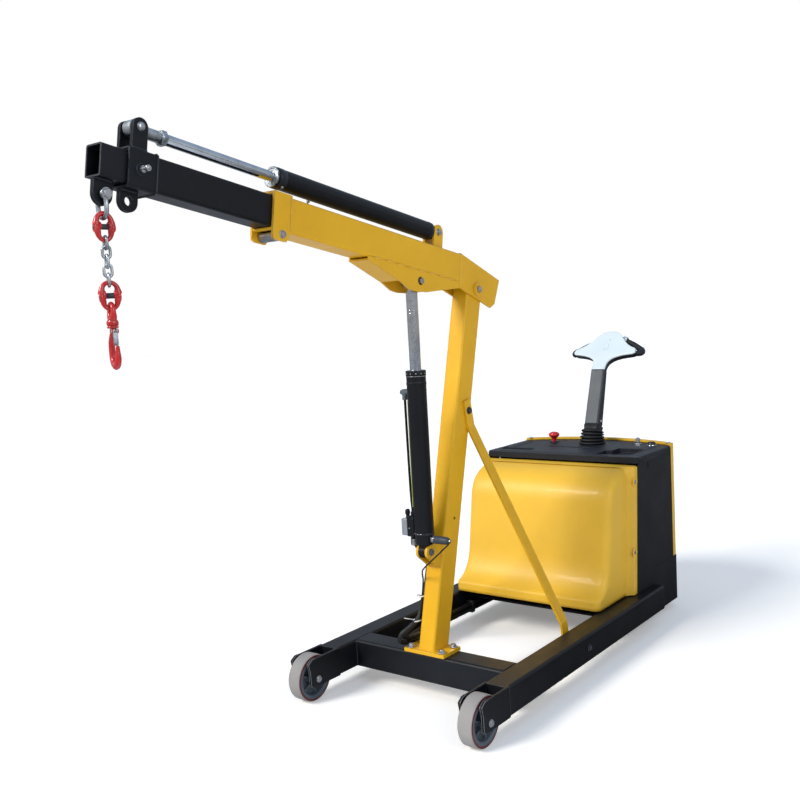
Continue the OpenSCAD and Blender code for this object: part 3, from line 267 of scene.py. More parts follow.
NODE_LOOKS = {
    "yellow": "mast braces outer_boom",
    "black": "base_frame inner_boom tip_tube lift_barrel reach_barrel",
    "charcoal": "rear_skirt side_panels",
    "hood": "front_hood rear_cover",
    "cover": "top_cover",
    "zinc": "frame_bolts cover_screws ram_foot_pin boom_pins lock_screw",
    "galvanised": "shackle link_1 link_2 link_3 link_4 link_5",
    "steel": "front_axles caster_fork_left caster_fork_right "
             "steer_column ignition_key hook_latch boom_roller",
    "cast": "counterweight",
    "dark_metal": "pump_unit drive_motor lift_valve",
    "rubber": "hydraulic_hoses caster_wheel_left caster_wheel_right tiller_boot tiller_grips",
    "black_plastic": "panel_sockets horn_button lift_rocker battery_pack",
    "hub": "front_hub_left front_hub_right drive_hub",
    "arm": "tiller_arm",
    "tread": "front_tyre_left front_tyre_right",
    "tread_side": "drive_tyre",
    "silver": "tiller_head throttle_paddle",
    "red_plastic": "belly_button stop_button",
    "chrome": "reach_rod lift_rod",
    "red": "connector_upper connector_lower hook",
}
for look, names in NODE_LOOKS.items():
    for n in names.split():
        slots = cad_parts[n].data.materials
        slots.clear()
        slots.append(M[look])


# ---------------------------------------------------------------- building blocks

MM = Matrix.Scale(0.001, 4)
WORK = Matrix.Translation((0, FOOT / 1000, 0))
I4 = Matrix.Identity(4)
DICE = random.Random(7)


def at(x=0, y=0, z=0, rx=0, ry=0, rz=0):
    """Place and turn in millimetres and degrees, turned about X, then Y, then Z."""
    turned = Matrix.Rotation(math.radians(rz), 4, "Z") @ Matrix.Rotation(math.radians(ry), 4, "Y")
    return Matrix.Translation((x, y, z)) @ turned @ Matrix.Rotation(math.radians(rx), 4, "X")


def soften(o, width, segs=2):
    b = o.modifiers.new("soft_edges", "BEVEL")
    b.width, b.segments, b.limit_method, b.angle_limit = width / 1000, segs, "ANGLE", math.radians(30)
    b.harden_normals = True
    return o


def piece(name, bm, look, body, m=WORK, soft=0, smooth=38, solid=0, instead=None):
    """A finished mesh, built in millimetres of frame m, riding on a body and standing in for a CAD node."""
    bmesh.ops.remove_doubles(bm, verts=bm.verts, dist=0.002)
    o = add_mesh(name, bm, m)
    o.data.materials.append(M[look])
    for f in o.data.polygons:
        f.use_smooth = True
    if not soft:
        o.data.set_sharp_from_angle(angle=math.radians(smooth))
    if solid:
        s = o.modifiers.new("thickness", "SOLIDIFY")
        s.thickness, s.offset = solid / 1000, -1
    if soft:
        soften(o, soft)
    if body:
        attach(o, body)
    if instead:
        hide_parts(instead)
    return o


def add_mesh(name, bm, m):
    """An object in the row frame from a mesh in millimetres of frame m."""
    bmesh.ops.recalc_face_normals(bm, faces=bm.faces)
    me = bpy.data.meshes.new(name)
    bm.to_mesh(me)
    bm.free()
    me.transform(m @ MM)
    o = bpy.data.objects.new(name, me)
    bpy.context.collection.objects.link(o)
    return o


def skin(bm, rings, closed=False, ends=False):
    """Faces between successive rings, or between a ring and a single point; ends closes the outer two."""
    for a, b in list(zip(rings, rings[1:])) + ([(rings[-1], rings[0])] if closed else []):
        n = max(len(a), len(b))
        for k in range(n):
            j = (k + 1) % n
            quad = list(dict.fromkeys((a[k % len(a)], a[j % len(a)], b[j % len(b)], b[k % len(b)])))
            if len(quad) > 2:
                bm.faces.new(quad)
    for ring in (rings[0], rings[-1]) if ends else ():
        if len(ring) > 2:
            bm.faces.new(ring)


def loft(bm, rings, m=I4, ends=True):
    """Skin over rings of plain points."""
    skin(bm, [[bm.verts.new(m @ Vector(p)) for p in ring] for ring in rings], ends=ends)


def circle(n):
    return [2 * math.pi * k / n for k in range(n)]


def turn(bm, profile, m=I4, segs=40, shape=None, closed=False):
    """Turned shape about Z of m, from (radius, height) pairs."""
    rings = []
    for r, h in profile:
        if r < 0.001:
            rings.append([bm.verts.new(m @ Vector((0, 0, h)))])
            continue
        ring = []
        for a in circle(segs):
            q = shape(a, r, h) if shape else r
            ring.append(bm.verts.new(m @ Vector((q * math.cos(a), q * math.sin(a), h))))
        rings.append(ring)
    skin(bm, rings, closed, ends=not closed)


def bar(bm, r, a, b, m=I4, segs=40):
    """Round bar of radius r from a to b along Z of m."""
    turn(bm, box_outline(0, r, a, b), m, segs)


def plate(bm, outline, a, b, axis="x", m=I4):
    """Outline in the plane square to the axis, from a to b along it."""
    put = {"x": lambda p, q, v: (v, p, q), "y": lambda p, q, v: (p, v, q), "z": lambda p, q,
           v: (p, q, v)}[axis]
    loft(bm, [[put(p, q, v) for p, q in outline] for v in (a, b)], m)


def block(bm, x0, x1, y0, y1, z0, z1, m=I4):
    plate(bm, box_outline(x0, x1, y0, y1), z0, z1, "z", m)


def box_outline(x0, x1, y0, y1):
    return [(x0, y0), (x1, y0), (x1, y1), (x0, y1)]


def arc(cx, cy, r, a0, a1, n):
    return [(cx + r * math.cos(math.radians(a0 + (a1 - a0) * i / n)),
             cy + r * math.sin(math.radians(a0 + (a1 - a0) * i / n))) for i in range(n + 1)]


def rounded(outline, r, n=5):
    """The outline with every corner rounded off by about r."""
    out = []
    pts = [Vector(p) for p in outline]
    for i, p in enumerate(pts):
        a, b = pts[i - 1] - p, pts[(i + 1) % len(pts)] - p
        ra = min(r, a.length * 0.48, b.length * 0.48)
        s, e = p + a.normalized() * ra, p + b.normalized() * ra
        for k in range(n + 1):
            t = k / n
            q = s * (1 - t) ** 2 + p * 2 * t * (1 - t) + e * t * t
            out.append((q.x, q.y))
    return out


def curve(pts, div):
    """Smooth line through the points."""
    p = [Vector(q) for q in pts]
    p = [p[0] * 2 - p[1], *p, p[-1] * 2 - p[-2]]
    out = []
    for a, b, c, d in zip(p, p[1:], p[2:], p[3:]):
        for t in (k / div for k in range(div)):
            out.append(0.5 * (2 * b + (c - a) * t + (2 * a - 5 * b + 4 * c - d) * t * t
                              + (3 * b - a - 3 * c + d) * t ** 3))
    return out + [p[-2]]


def stock(bm, path, size, m=I4, sides=12, closed=False, face=None):
    """Stock along a line of points. size is a radius, a list of radii, or a list of (in plane, across) pairs;
    face is the direction the second of a pair points in."""
    n = len(path)
    sizes = size if isinstance(size, list) else [size] * n
    rings, up = [], None
    for i, c in enumerate(path):
        before = path[i - 1] if i or closed else path[i]
        after = path[(i + 1) % n] if i < n - 1 or closed else path[i]
        way = (after - before).normalized()
        up = Vector(face) if face else up or way.orthogonal()
        u = up.cross(way).normalized()
        v = up = way.cross(u).normalized()
        s = sizes[i]
        ru, rv = s if isinstance(s, tuple) else (s, s)
        rings.append([bm.verts.new(m @ (c + u * ru * math.cos(a) + v * rv * math.sin(a)))
                      for a in circle(sides)])
    skin(bm, rings, closed, ends=not closed)


def along(pts, step):
    """Points every step millimetres along straight pieces."""
    out = [Vector(pts[0])]
    for a, b in zip(pts, pts[1:]):
        a, b = Vector(a), Vector(b)
        n = max(1, round((b - a).length / step))
        out += [a.lerp(b, (k + 1) / n) for k in range(n)]
    return out


def bead(bm, pts, r, m=I4):
    """A weld bead with its ripples, thinner at both ends."""
    path = along(pts, r * 0.62)
    n = len(path)
    radii = []
    for i, p in enumerate(path):
        end = min(1.0, 0.45 + 0.3 * min(i, n - 1 - i))
        radii.append(r * end * (0.92 + 0.13 * math.sin(i * 2.1) + DICE.uniform(-0.05, 0.05)))
    jitter = [p + Vector((DICE.uniform(-1, 1), DICE.uniform(-1, 1), DICE.uniform(-1, 1))) * r * 0.06
              for p in path]
    stock(bm, jitter, radii, m, 8)


def hex_bolt(bm, m, r, h, washer=2.0, stub=0.0):
    """Chamfered hexagon on a washer, rising along Z of m; stub is the thread's end above a nut."""
    if washer:
        turn(bm, [(0, 0), (r * 1.3, 0), (r * 1.3, washer * 0.6), (r * 1.22, washer), (0, washer)], m, 36)
    base = m @ at(z=washer)
    rings = []
    for q, z, chamfer in ((r, 0, False), (r, h * 0.74, False), (r * 0.93, h * 0.92, True),
                          (r * 0.86, h, True), (r * 0.80, h, True)):
        ring = []
        for a in circle(24):
            flat = (r if chamfer else q) * math.cos(math.pi / 6) / math.cos(a % (math.pi / 3) - math.pi / 6)
            f = min(flat, q) if chamfer else flat
            ring.append(bm.verts.new(base @ Vector((f * math.cos(a), f * math.sin(a), z))))
        rings.append(ring)
    skin(bm, rings, ends=True)
    if stub:
        turn(bm, [(0, h - 1), (r * 0.52, h - 1), (r * 0.52, h + stub * 0.7), (r * 0.42, h + stub),
                  (0, h + stub)],
             base, 24)


def screw(bm, m, r, h):
    """Pan head with a slot along X of m."""
    rings = []
    levels = [(r, 0), (r, h * 0.35)] + [(r * math.cos(math.radians(t)),
                                         h * (0.35 + 0.65 * math.sin(math.radians(t))))
                                        for t in (15, 30, 45, 60, 72, 82)]
    for q, z in levels:
        ring = []
        for a in circle(48):
            y = q * math.sin(a)
            low = h * 0.42 if abs(y) < r * 0.13 and z > h * 0.4 else z
            ring.append(bm.verts.new(m @ Vector((q * math.cos(a), y, low))))
        rings.append(ring)
    rings.append([bm.verts.new(m @ Vector((0, 0, h * 0.42)))])
    skin(bm, rings, ends=True)


def x_axis(x, y, z, side=1):
    """A place whose Z points outwards along X."""
    return at(x, y, z, ry=90 * side)


def cut(o, cutters):
    """Cuts the meshes out of o for good."""
    for c in cutters:
        b = o.modifiers.new("cut", "BOOLEAN")
        b.operation, b.solver, b.object = "DIFFERENCE", "EXACT", c
    dg = bpy.context.evaluated_depsgraph_get()
    me = bpy.data.meshes.new_from_object(o.evaluated_get(dg))
    o.modifiers.clear()
    o.data = me
    for f in me.polygons:
        f.use_smooth = True
    for c in cutters:
        bpy.data.objects.remove(c, do_unlink=True)
    return o


# ---------------------------------------------------------------- cabinet

DECK, FLANGE_X, HOOD_X = 690, 342, 318
POCKETS = (325, 600)                                  # heights of the hood's screws
STOP, SOCKET, KEY, COLUMN = (-189, 1245), (262, 1258), (195, 1273), (0, 1238)


def joint_y(z):
    """The slanted joint between the hood and the side panels."""
    return 893 + 37 * (z - 154) / 536


def bez(a, b, c, d, n):
    a, b, c, d = map(Vector, (a, b, c, d))
    return [a * (1 - t) ** 3 + b * 3 * t * (1 - t) ** 2 + c * 3 * t * t * (1 - t) + d * t ** 3
            for t in (i / n for i in range(n + 1))]


def ease(x):
    x = min(max(x, 0.0), 1.0)
    return x * x * (3 - 2 * x)


def make_hood():
    """Moulded hood: soft shoulder, leaning front, flared foot with a lip, raised flange down both sides."""
    side = bez((joint_y(658), 658), (805, 656), (742, 618), (729, 530), 22)
    side += [Vector((729 - 29 * t, 530 - 180 * t)) for t in (0.2, 0.4, 0.6, 0.8)]
    side += bez((700, 350), (691, 268), (664, 214), (608, 197), 16)
    side += [Vector(p) for p in ((606, 193), (605.5, 186), (605, 172), (604.5, 160))]
    n = len(side)
    normals = []
    for i in range(n):
        way = side[min(i + 1, n - 1)] - side[max(i - 1, 0)]
        true = Vector((-way.y, way.x)).normalized()               # points into the hood
        flat = 1 - ease((side[i].y - 330) / 70)
        normals.append((true * (1 - flat) + Vector((1, 0)) * flat).normalized())
    bm = bmesh.new()
    sides = []
    for sign in (-1, 1):
        columns = []
        for j in range(7):                                        # side face, from the joint forwards
            t = 1 - j / 6
            col = []
            for i in range(n):
                r = 24 + 8 * ease((side[i].y - 170) / 120)
                p = side[i] + normals[i] * r
                y0 = min(p.x, joint_y(p.y))
                y = y0 + (joint_y(p.y) - y0) * t
                col.append((sign * HOOD_X, y, p.y))
            columns.append(col)
        for j in range(1, 9):                                     # rounded edge
            th = math.radians(90 - 90 * j / 8)
            col = []
            for i in range(n):
                r = 24 + 8 * ease((side[i].y - 170) / 120)
                p = side[i] + normals[i] * r * (1 - math.cos(th))
                p.x = min(p.x, joint_y(p.y))
                col.append((sign * (HOOD_X - r + r * math.sin(th)), p.x, p.y))
            columns.append(col)
        sides.append(columns)
    middle = [[(x, p.x, p.y) for p in side] for x in range(-260, 261, 52)]
    grid = [[bm.verts.new(v) for v in col] for col in sides[0] + middle + sides[1][::-1]]
    for a, b in zip(grid, grid[1:]):
        for i in range(n - 1):
            if (a[i].co - b[i + 1].co).length > 0.01:
                bm.faces.new((a[i], a[i + 1], b[i + 1], b[i]))
    piece("hood_shell", bm, "hood", "frame", smooth=60, solid=4, instead="front_hood")
    # square flange round the hood's joint, running into it with a hollow fillet
    bm = bmesh.new()
    rows = []
    for sign in (-1, 1):
        part = [((sign * HOOD_X, z), (sign * FLANGE_X, z)) for z in (158, *range(200, 601, 50), 622)]
        for k in range(9):
            th = math.radians(90 - 90 * k / 8)
            part.append(((sign * (HOOD_X - 32 + 32 * math.sin(th)), 657 - 32 * (1 - math.cos(th))),
                         (sign * (FLANGE_X - 9 + 9 * math.sin(th)), 659 - 9 * (1 - math.cos(th)))))
        rows.append(part)
    ring = rows[0] + [((x, 657), (x, 659)) for x in (-200, -100, 0, 100, 200)] + rows[1][::-1]
    steps = [(0, 0.97), (1, 1), (27, 1), (28.5, 0.97), (30, 0.88)]
    steps += [(30 + 26 * t, 0.88 * (1 - math.sin(t * math.pi / 2)) - 0.05 * t)
              for t in (0.1, 0.2, 0.35, 0.5, 0.65, 0.8, 1.0)]
    grid = []
    for (hx, hz), (fx, fz) in ring:
        col = []
        for d, f in steps:
            x, z = hx + (fx - hx) * f, hz + (fz - hz) * f
            col.append(bm.verts.new((x, joint_y(z) - d, z)))
        grid.append(col)
    for a, b in zip(grid, grid[1:]):
        for k in range(len(steps) - 1):
            bm.faces.new((a[k], a[k + 1], b[k + 1], b[k]))
    piece("hood_flange", bm, "hood", "frame", smooth=45)
    # dished rims round the screw pockets on the flanges
    bm = bmesh.new()
    for s in (-1, 1):
        for z in POCKETS:
            turn(bm, [(9.5, -1), (10.5, 0.8), (13, 2.4), (16, 2.2), (19, 0.7), (20, -1)],
                 x_axis(s * FLANGE_X, joint_y(z) - 21, z, s), 40, closed=True)
    piece("hood_pocket_rims", bm, "hood", "frame", smooth=60)


def make_screws():
    bm = bmesh.new()
    for s in (-1, 1):
        for z in POCKETS:
            screw(bm, x_axis(s * (FLANGE_X - 1), joint_y(z) - 21, z, s) @ at(rz=25 + z), 8.6, 3.4)
        bar(bm, 10.5, 0, 1.4, at(s * 327, 1277, 699), 32)
        screw(bm, at(s * 327, 1277, 700.2, rz=40 * s), 8, 4)
    piece("slotted_screws", bm, "zinc", "frame", smooth=30, instead="cover_screws")


def cutter(outline, z0, z1=700):
    bm = bmesh.new()
    plate(bm, outline, z0, z1, "z")
    return add_mesh("cutter", bm, WORK)


def make_cover():
    """Top cover with a front lip, sunk trays and a groove."""
    r, edge = 640, 343
    side_y = 718 + math.sqrt(r * r - edge * edge)
    a0 = math.degrees(math.atan2(side_y - 718, edge))
    rear = arc(0, 718, r, a0, 180 - a0, 64)
    corners = arc(14 - edge, 944, 14, 180, 270, 6) + arc(edge - 14, 944, 14, 270, 360, 6)
    outline = [(edge, 946), *rear, (-edge, 946), *corners]
    bm = bmesh.new()
    plate(bm, outline, 664, DECK, "z")
    o = piece("top_cover_skin", bm, "cover", None)
    pockets = [
        cutter(rounded(box_outline(-320, -172, 1000, 1045), 9), 676),
        cutter(rounded(box_outline(-306, -252, 1006, 1039), 6), 668),
        cutter(rounded(box_outline(-147, 47, 1112, 1135), 11), 679),
        cutter(rounded([(138, 975), (288, 975), (288, 1145), (168, 1145), (168, 1080), (138, 1080)], 10),
               671),
        cutter([(48 * math.cos(a), COLUMN[1] + 48 * math.sin(a)) for a in circle(48)], 650),
    ]
    cut(o, pockets)
    soften(o, 2.2, 3)
    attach(o, "frame")
    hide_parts("top_cover")
    # raised ribs along the cover and the seam strip of its front lip
    bm = bmesh.new()
    for x in (-290, 290):
        plate(bm, rounded(box_outline(x - 4, x + 4, 1060, 1230), 4), 689.5, 691.4, "z")
    plate(bm, rounded(box_outline(-300, 85, 956, 962), 3), 689.5, 691.2, "z")
    piece("cover_ribs", bm, "cover", "frame", soft=0.6)


def make_boot():
    """Rubber bellows from the cover up to the tiller's foot."""
    bm = bmesh.new()
    rows = []
    for i in range(5):
        ro, ri, h = 57 - 2.2 * i, 46 - 2.0 * i, 11.8 * i
        rows += [(ri, h), (ri + 4, h + 0.8), (ro - 1.2, h + 2.8), (ro, h + 4.8), (ro, h + 6.4),
                 (ro - 1.2, h + 8.4), (ri + 4, h + 10.6), (ri, h + 11.6)]
    rows += [(37, 61), (36, 64), (36, 78), (33, 80)]
    tube = []
    for r, h in rows:
        t = h / 80
        lean = math.radians(TILLER_LEAN) * ease(t)
        c = Vector((0, COLUMN[1] + 20 * t * t, 690.5 + h * (1 - 0.04 * t)))
        square = ease((t - 0.6) / 0.3)
        ring = []
        for a in circle(56):
            x, y = r * math.cos(a), r * math.sin(a)
            big = max(abs(math.cos(a)), abs(math.sin(a)))
            x, y = x / (1 + square * (big * 1.16 - 1)), y / (1 + square * (big * 1.16 - 1))
            ring.append(c + Vector((x, y * math.cos(lean), -y * math.sin(lean))))
        tube.append(ring)
    loft(bm, tube, ends=False)
    o = piece("tiller_bellows", bm, "rubber", None, smooth=55, instead="tiller_boot")
    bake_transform(o)


def make_tiller():
    """Arm with a grey front, black sides, and the head with its swept wings."""
    bm = bmesh.new()
    rows = []
    for h, back, front in ((58, 27, -26), (64, 27, -27), (200, 15, -27), (296, 7, -27), (304, 5, -26)):
        x, c = 31 - (1.5 if h in (58, 304) else 0), 6
        rows.append([(-x, front + 3, h), (x, front + 3, h), (x, back - c, h), (x - c, back, h),
                     (-x + c, back, h), (-x, back - c, h)])
    loft(bm, rows)
    turn(bm, [(0, -21), (15, -21), (16, -19), (16, 19), (15, 21), (0, 21)], at(ry=90), 40)
    block(bm, -20, 20, -14, 14, -2, 60)
    piece("tiller_arm_body", bm, "black_plastic", "tiller", TILLER, soft=1.5, instead="tiller_arm")
    bm = bmesh.new()
    face = rounded(box_outline(-31, 31, 57, 305), 5)
    inner = rounded(box_outline(-26, 26, 62, 300), 4)
    loft(bm, [[(p, y, q) for p, q in out] for out, y in ((face, -23), (face, -25), (inner, -30),
                                                         (inner, -30.2))])
    piece("tiller_arm_face", bm, "arm", "tiller", TILLER, smooth=25)
    bm = bmesh.new()
    for s in (-1, 1):
        screw(bm, x_axis(s * 31, 0, 78, s) @ at(rz=30), 5.5, 3)
    piece("arm_screws", bm, "white_plastic", "tiller", TILLER, smooth=30)

    # head: satin face over a black body
    half = [(0, 2), (31, 2), (31, 14)]
    half += [tuple(p) for p in bez((31, 30), (33, 62), (60, 76), (100, 84), 10)]
    half += [(137, 90), (146, 98), (143, 116)]
    half += [tuple(p) for p in bez((136, 122), (96, 140), (84, 160), (60, 190), 10)]
    half += [(44, 212), (27, 222), (0, 224)]
    outline = half + [(-x, y) for x, y in half[-2:0:-1]]

    def inset(pts, d):
        out, n = [], len(pts)
        for i in range(n):
            a, b = Vector(pts[i - 1]), Vector(pts[(i + 1) % n])
            w = (b - a).normalized()
            out.append((pts[i][0] - w.y * d, pts[i][1] + w.x * d))
        return out

    bm = bmesh.new()
    loft(bm, [[(p, q, z) for p, q in inset(outline, d)]
              for d, z in ((0.6, -7), (0, -6.2), (0, -1.6), (0.6, -0.6), (1.8, 0), (7, 0.5), (9, 0.6))])
    piece("head_face", bm, "silver", "tiller", FACE, smooth=30, instead="tiller_head")
    bm = bmesh.new()
    low = [(x, min(y, 172)) for x, y in outline]
    loft(bm, [[(p, q, z) for p, q in inset(low, d)]
              for d, z in ((9, -33), (4, -31), (1.5, -26), (1.0, -7.2))])
    plate(bm, rounded(box_outline(-30, 30, 118, 210), 8), -46, -6, "z")
    piece("head_body", bm, "black_plastic", "tiller", FACE, smooth=35)

    # rocker, round horn button and the red end button
    bm = bmesh.new()
    rings = []
    for y, z in ((-13.5, 3.2), (-7, 1.6), (0, 0.9), (7, 1.6), (13.5, 3.2)):
        rings.append([(x, y, z + dz) for x, dz in ((-9, -4), (-9, -0.6), (-8, 0), (8, 0), (9, -0.6),
                                                   (9, -4))])
    loft(bm, rings)
    piece("rocker_cap", bm, "silver", "lift_rocker", FACE @ Matrix.Translation((0, 0.128, 0.0)), soft=0.7,
          instead="lift_rocker")
    bm = bmesh.new()
    turn(bm, [(0, -1.6), (7.9, -1.6), (7.9, 1.6), (7, 2.8), (5, 3.3), (0, 3.0)], at(0, 171, 0), 36)
    piece("horn_cap", bm, "silver", "horn_button", FACE, smooth=50, instead="horn_button")
    bm = bmesh.new()
    turn(bm, [(8.3, -0.6), (8.4, 1.2), (9.6, 1.6), (10.6, 1.0), (10.8, -0.6)], at(0, 171, 0), 36)
    plate(bm, rounded(box_outline(-10.8, 10.8, 111.5, 144.5), 3), -0.5, 0.9, "z")
    piece("head_bezels", bm, "silver", "tiller", FACE, smooth=40)
    bm = bmesh.new()
    rings = []
    for z, k in ((200, 0.9), (211, 0.97), (214, 1.0), (222, 1.0), (226, 0.93), (228, 0.78)):
        rings.append([(x * k, z, -31.5 + y * k) for x, y in rounded(box_outline(-17, 17, -11, 11), 7, 6)])
    loft(bm, rings)
    piece("end_button", bm, "red_plastic", "belly_button", FACE, smooth=50, instead="belly_button")

    def swept(s, *ends):
        return [Vector((s * p.x, p.y, p.z)) for p in bez(*ends)]

    # ribbed grips with blocky ends, and the thumb wheels
    bm = bmesh.new()
    ends = bmesh.new()
    for s in (-1, 1):
        line = [Vector((s * 30, 196, -34)), Vector((s * 45, 196, -34))]
        line += swept(s, (58, 194, -34), (86, 186, -36), (122, 164, -38), (154, 138, -38), 8)
        path = curve(line, 14)
        radii = []
        for i, p in enumerate(path):
            x = abs(p.x)
            rib = 12.2 + 0.9 * (abs(math.sin(i * 0.62)) ** 2) if x > 56 else 10.6
            radii.append(rib if x < 149 else 12.6)
        stock(bm, path, radii, sides=28)
        line = swept(s, (150, 142, -38), (163, 131, -37), (166, 112, -30), (140, 103, -18), 12)
        sizes = [(13.8 - 2.5 * (i / 12) ** 2, 14.5 - 2.5 * (i / 12) ** 2) for i in range(13)]
        stock(ends, line, sizes, sides=16, face=(0, 0, 1))
    piece("ribbed_grips", bm, "rubber", "tiller", FACE, smooth=50, instead="tiller_grips")
    piece("grip_ends", ends, "black_plastic", "tiller", FACE, smooth=50)
    bm = bmesh.new()

    def knurl(a, r, h):
        return r * (1 + 0.035 * math.cos(a * 18)) if r > 14 else r

    for s in (-1, 1):
        turn(bm, [(11.3, -13), (16, -13), (18.6, -10), (20, 0), (19, 8), (15, 13), (11.3, 13)],
             at(s * 60, 196, -34, ry=90 * s), 72, knurl, closed=True)
        plate(bm, rounded([(-5, 12), (5, 12), (4, 30), (-4, 30)], 2.5), -6, 6, "x", at(s * 60, 196, -34))
    piece("thumb_wheels", bm, "silver", "throttle", FACE, smooth=40, instead="throttle_paddle")


def make_panel_controls():
    bm = bmesh.new()
    turn(bm, [(0, -14), (7.9, -14), (7.9, 3), (9.5, 12), (14, 21), (20.5, 25.5), (23.4, 28), (24, 31),
              (23.7, 35), (22, 39), (18, 42.5), (12, 44.8), (6, 45.8), (0, 46)], at(*STOP, DECK), 56)
    piece("stop_mushroom", bm, "red_plastic", "stop_button", smooth=60, instead="stop_button")
    bm = bmesh.new()
    turn(bm, [(8.1, 0.3), (8.1, 3.4), (19, 4.4), (21.5, 3), (22, 0.3)], at(*STOP, DECK), 48)
    turn(bm, [(0, 0.3), (17.4, 0.3), (17.4, 4), (16, 5.6), (15.5, 12), (13.5, 14.2), (0, 14.8)],
         at(*SOCKET, DECK), 48)
    turn(bm, [(5.1, -6), (5.1, 4.8), (11, 5), (12, 4), (12, 0.3), (11.7, -6)], at(*KEY, DECK), 48,
         closed=True)
    piece("socket_and_collars", bm, "black_plastic", "frame", smooth=50, instead="panel_sockets")
    bm = bmesh.new()
    turn(bm, [(12.4, 0.2), (12.4, 3.6), (13.6, 4.6), (15.2, 3.8), (15.6, 0.2)], at(*KEY, DECK), 48,
         closed=True)
    turn(bm, [(17.6, 0.2), (17.6, 2.2), (19.4, 2.6), (20.2, 0.2)], at(*SOCKET, DECK), 48, closed=True)
    piece("chrome_collars", bm, "chrome", "frame", smooth=50)


make_hood()
make_screws()
make_cover()
make_boot()
make_tiller()
make_panel_controls()


# ---------------------------------------------------------------- boom, tip and reach cylinder

# places as (y, z): the first two in work coordinates, the others in the boom's frame
PIVOT, STUB = (310, 1365), (RAM_Y, 1396)
ROLLER, LOCK = (-860, -108.05), (-1319, -49)
REACH_FOOT, ROD_PIN = (-115, 52), (-1322, 52)


def hexes(name, places, look, body, m=WORK, instead=None):
    """Hexagon heads and nuts: (place, radius, height, washer, thread stub)."""
    bm = bmesh.new()
    for where, r, h, washer, stub in places:
        hex_bolt(bm, where, r, h, washer, stub)
    piece(name, bm, look, body, m, smooth=30, instead=instead)


def tube_mouth_highlight(bm, half, h, t, r, y):
    """Thin rim of a lighter material over a cut tube end: a painted highlight."""
    out = rounded(box_outline(-half, half, -49 - h / 2, -49 + h / 2), r, 6)
    inn = rounded(box_outline(-half + t, half - t, -49 - h / 2 + t, -49 + h / 2 - t),
                  max(r - t, 1.5), 6)
    levels = ((out, 0.5), (out, -0.35), (inn, -0.35), (inn, 0.5))
    loft(bm, [[(x, -y + d, z) for x, z in ring] for ring, d in levels], ends=False)


def make_boom():
    # stitch welds along the gussets, the kink's weld, weld at the lugs and the collar
    bm = bmesh.new()
    for s in (-1, 1):
        x = s * 40.2
        for k in range(8):
            a = -40 - 56 * k
            bead(bm, [(x, a, -97.2), (x, a - 30, -97.2)], 3.3)
        bead(bm, [(x, -2, -2), (x, 1, -60), (x, -2, -96), (x, -4, -117)], 3.2)
        bead(bm, [(x + s * 4, -831, 2), (x + s * 4, -831, -97)], 2.6)
        for lug in (14.6, 23.4):
            bead(bm, [(s * lug, -90, 0.3), (s * lug, -140, 0.3)], 3)
    bead(bm, [(-38, -831, 4), (38, -831, 4)], 2.6)
    bead(bm, [(-38, 0.5, 0.2), (38, 0.5, 0.2)], 3)
    piece("boom_welds", bm, "weld_yellow", "boom", BOOM, smooth=80)
    # painted highlight: a thin sheet of lighter yellow over the collar's front edge and the roller's tabs
    bm = bmesh.new()
    out = [(-44, 4), (44, 4), (44, -106), (41, -124), (36.6, -126), (36.6, -3.5), (-36.6, -3.5),
           (-36.6, -126), (-41, -124), (-44, -106)]
    plate(bm, out, -896.2, -895.8, "y")
    piece("collar_front_highlight", bm, "weld_yellow", "boom", BOOM, smooth=30)

    # bolts of the pivot, the ram's stub pins, the roller and the reach cylinder
    places = []
    for s in (-1, 1):
        places.append((x_axis(s * 47, *PIVOT, s), 11.5, 8.5, 0, 2.0))
        places.append((x_axis(s * 40.4, *STUB, s), 10.5, 7.5, 0, 2.0))
    hexes("boom_bolts", places, "zinc", "boom", instead="boom_pins")
    places = []
    for s in (-1, 1):
        places.append((x_axis(s * 44, *ROLLER, s), 9, 6, 1.4, 1.5))
        places.append((x_axis(s * 23, *REACH_FOOT, s), 9.5, 6.5, 1.2, 1.5))
    hexes("boom_small_bolts", places, "zinc", "boom", BOOM)
    bm = bmesh.new()
    bar(bm, 10, -24, 24, at(0, *REACH_FOOT, ry=90), 32)
    bar(bm, 8, -46, 46, at(0, *ROLLER, ry=90), 32)
    piece("boom_pin_shanks", bm, "steel", "boom", BOOM)
    bm = bmesh.new()
    bar(bm, 15, -47, 47, at(0, *PIVOT, ry=90), 40)
    for s in (-1, 1):
        bar(bm, 12, 33.8, 41, at(0, *STUB, ry=90 * s), 32)
    piece("pivot_shanks", bm, "steel", "boom")
    # painted rims between the boss rings and the heads
    bm = bmesh.new()
    for s in (-1, 1):
        turn(bm, [(0, 43), (18, 43), (19, 44.5), (18, 47), (11, 47.6), (0, 47.6)], at(0, *PIVOT, ry=90 * s),
             40)
    piece("pivot_rims", bm, "yellow", "boom", smooth=40)
    bm = bmesh.new()
    for s in (-1, 1):
        turn(bm, [(0, 39.5), (12.6, 39.5), (13.2, 40.4), (12.6, 41.2), (0, 41.2)], at(0, *STUB, ry=90 * s),
             40)
    piece("stub_washers", bm, "weld_black", "boom", smooth=40)


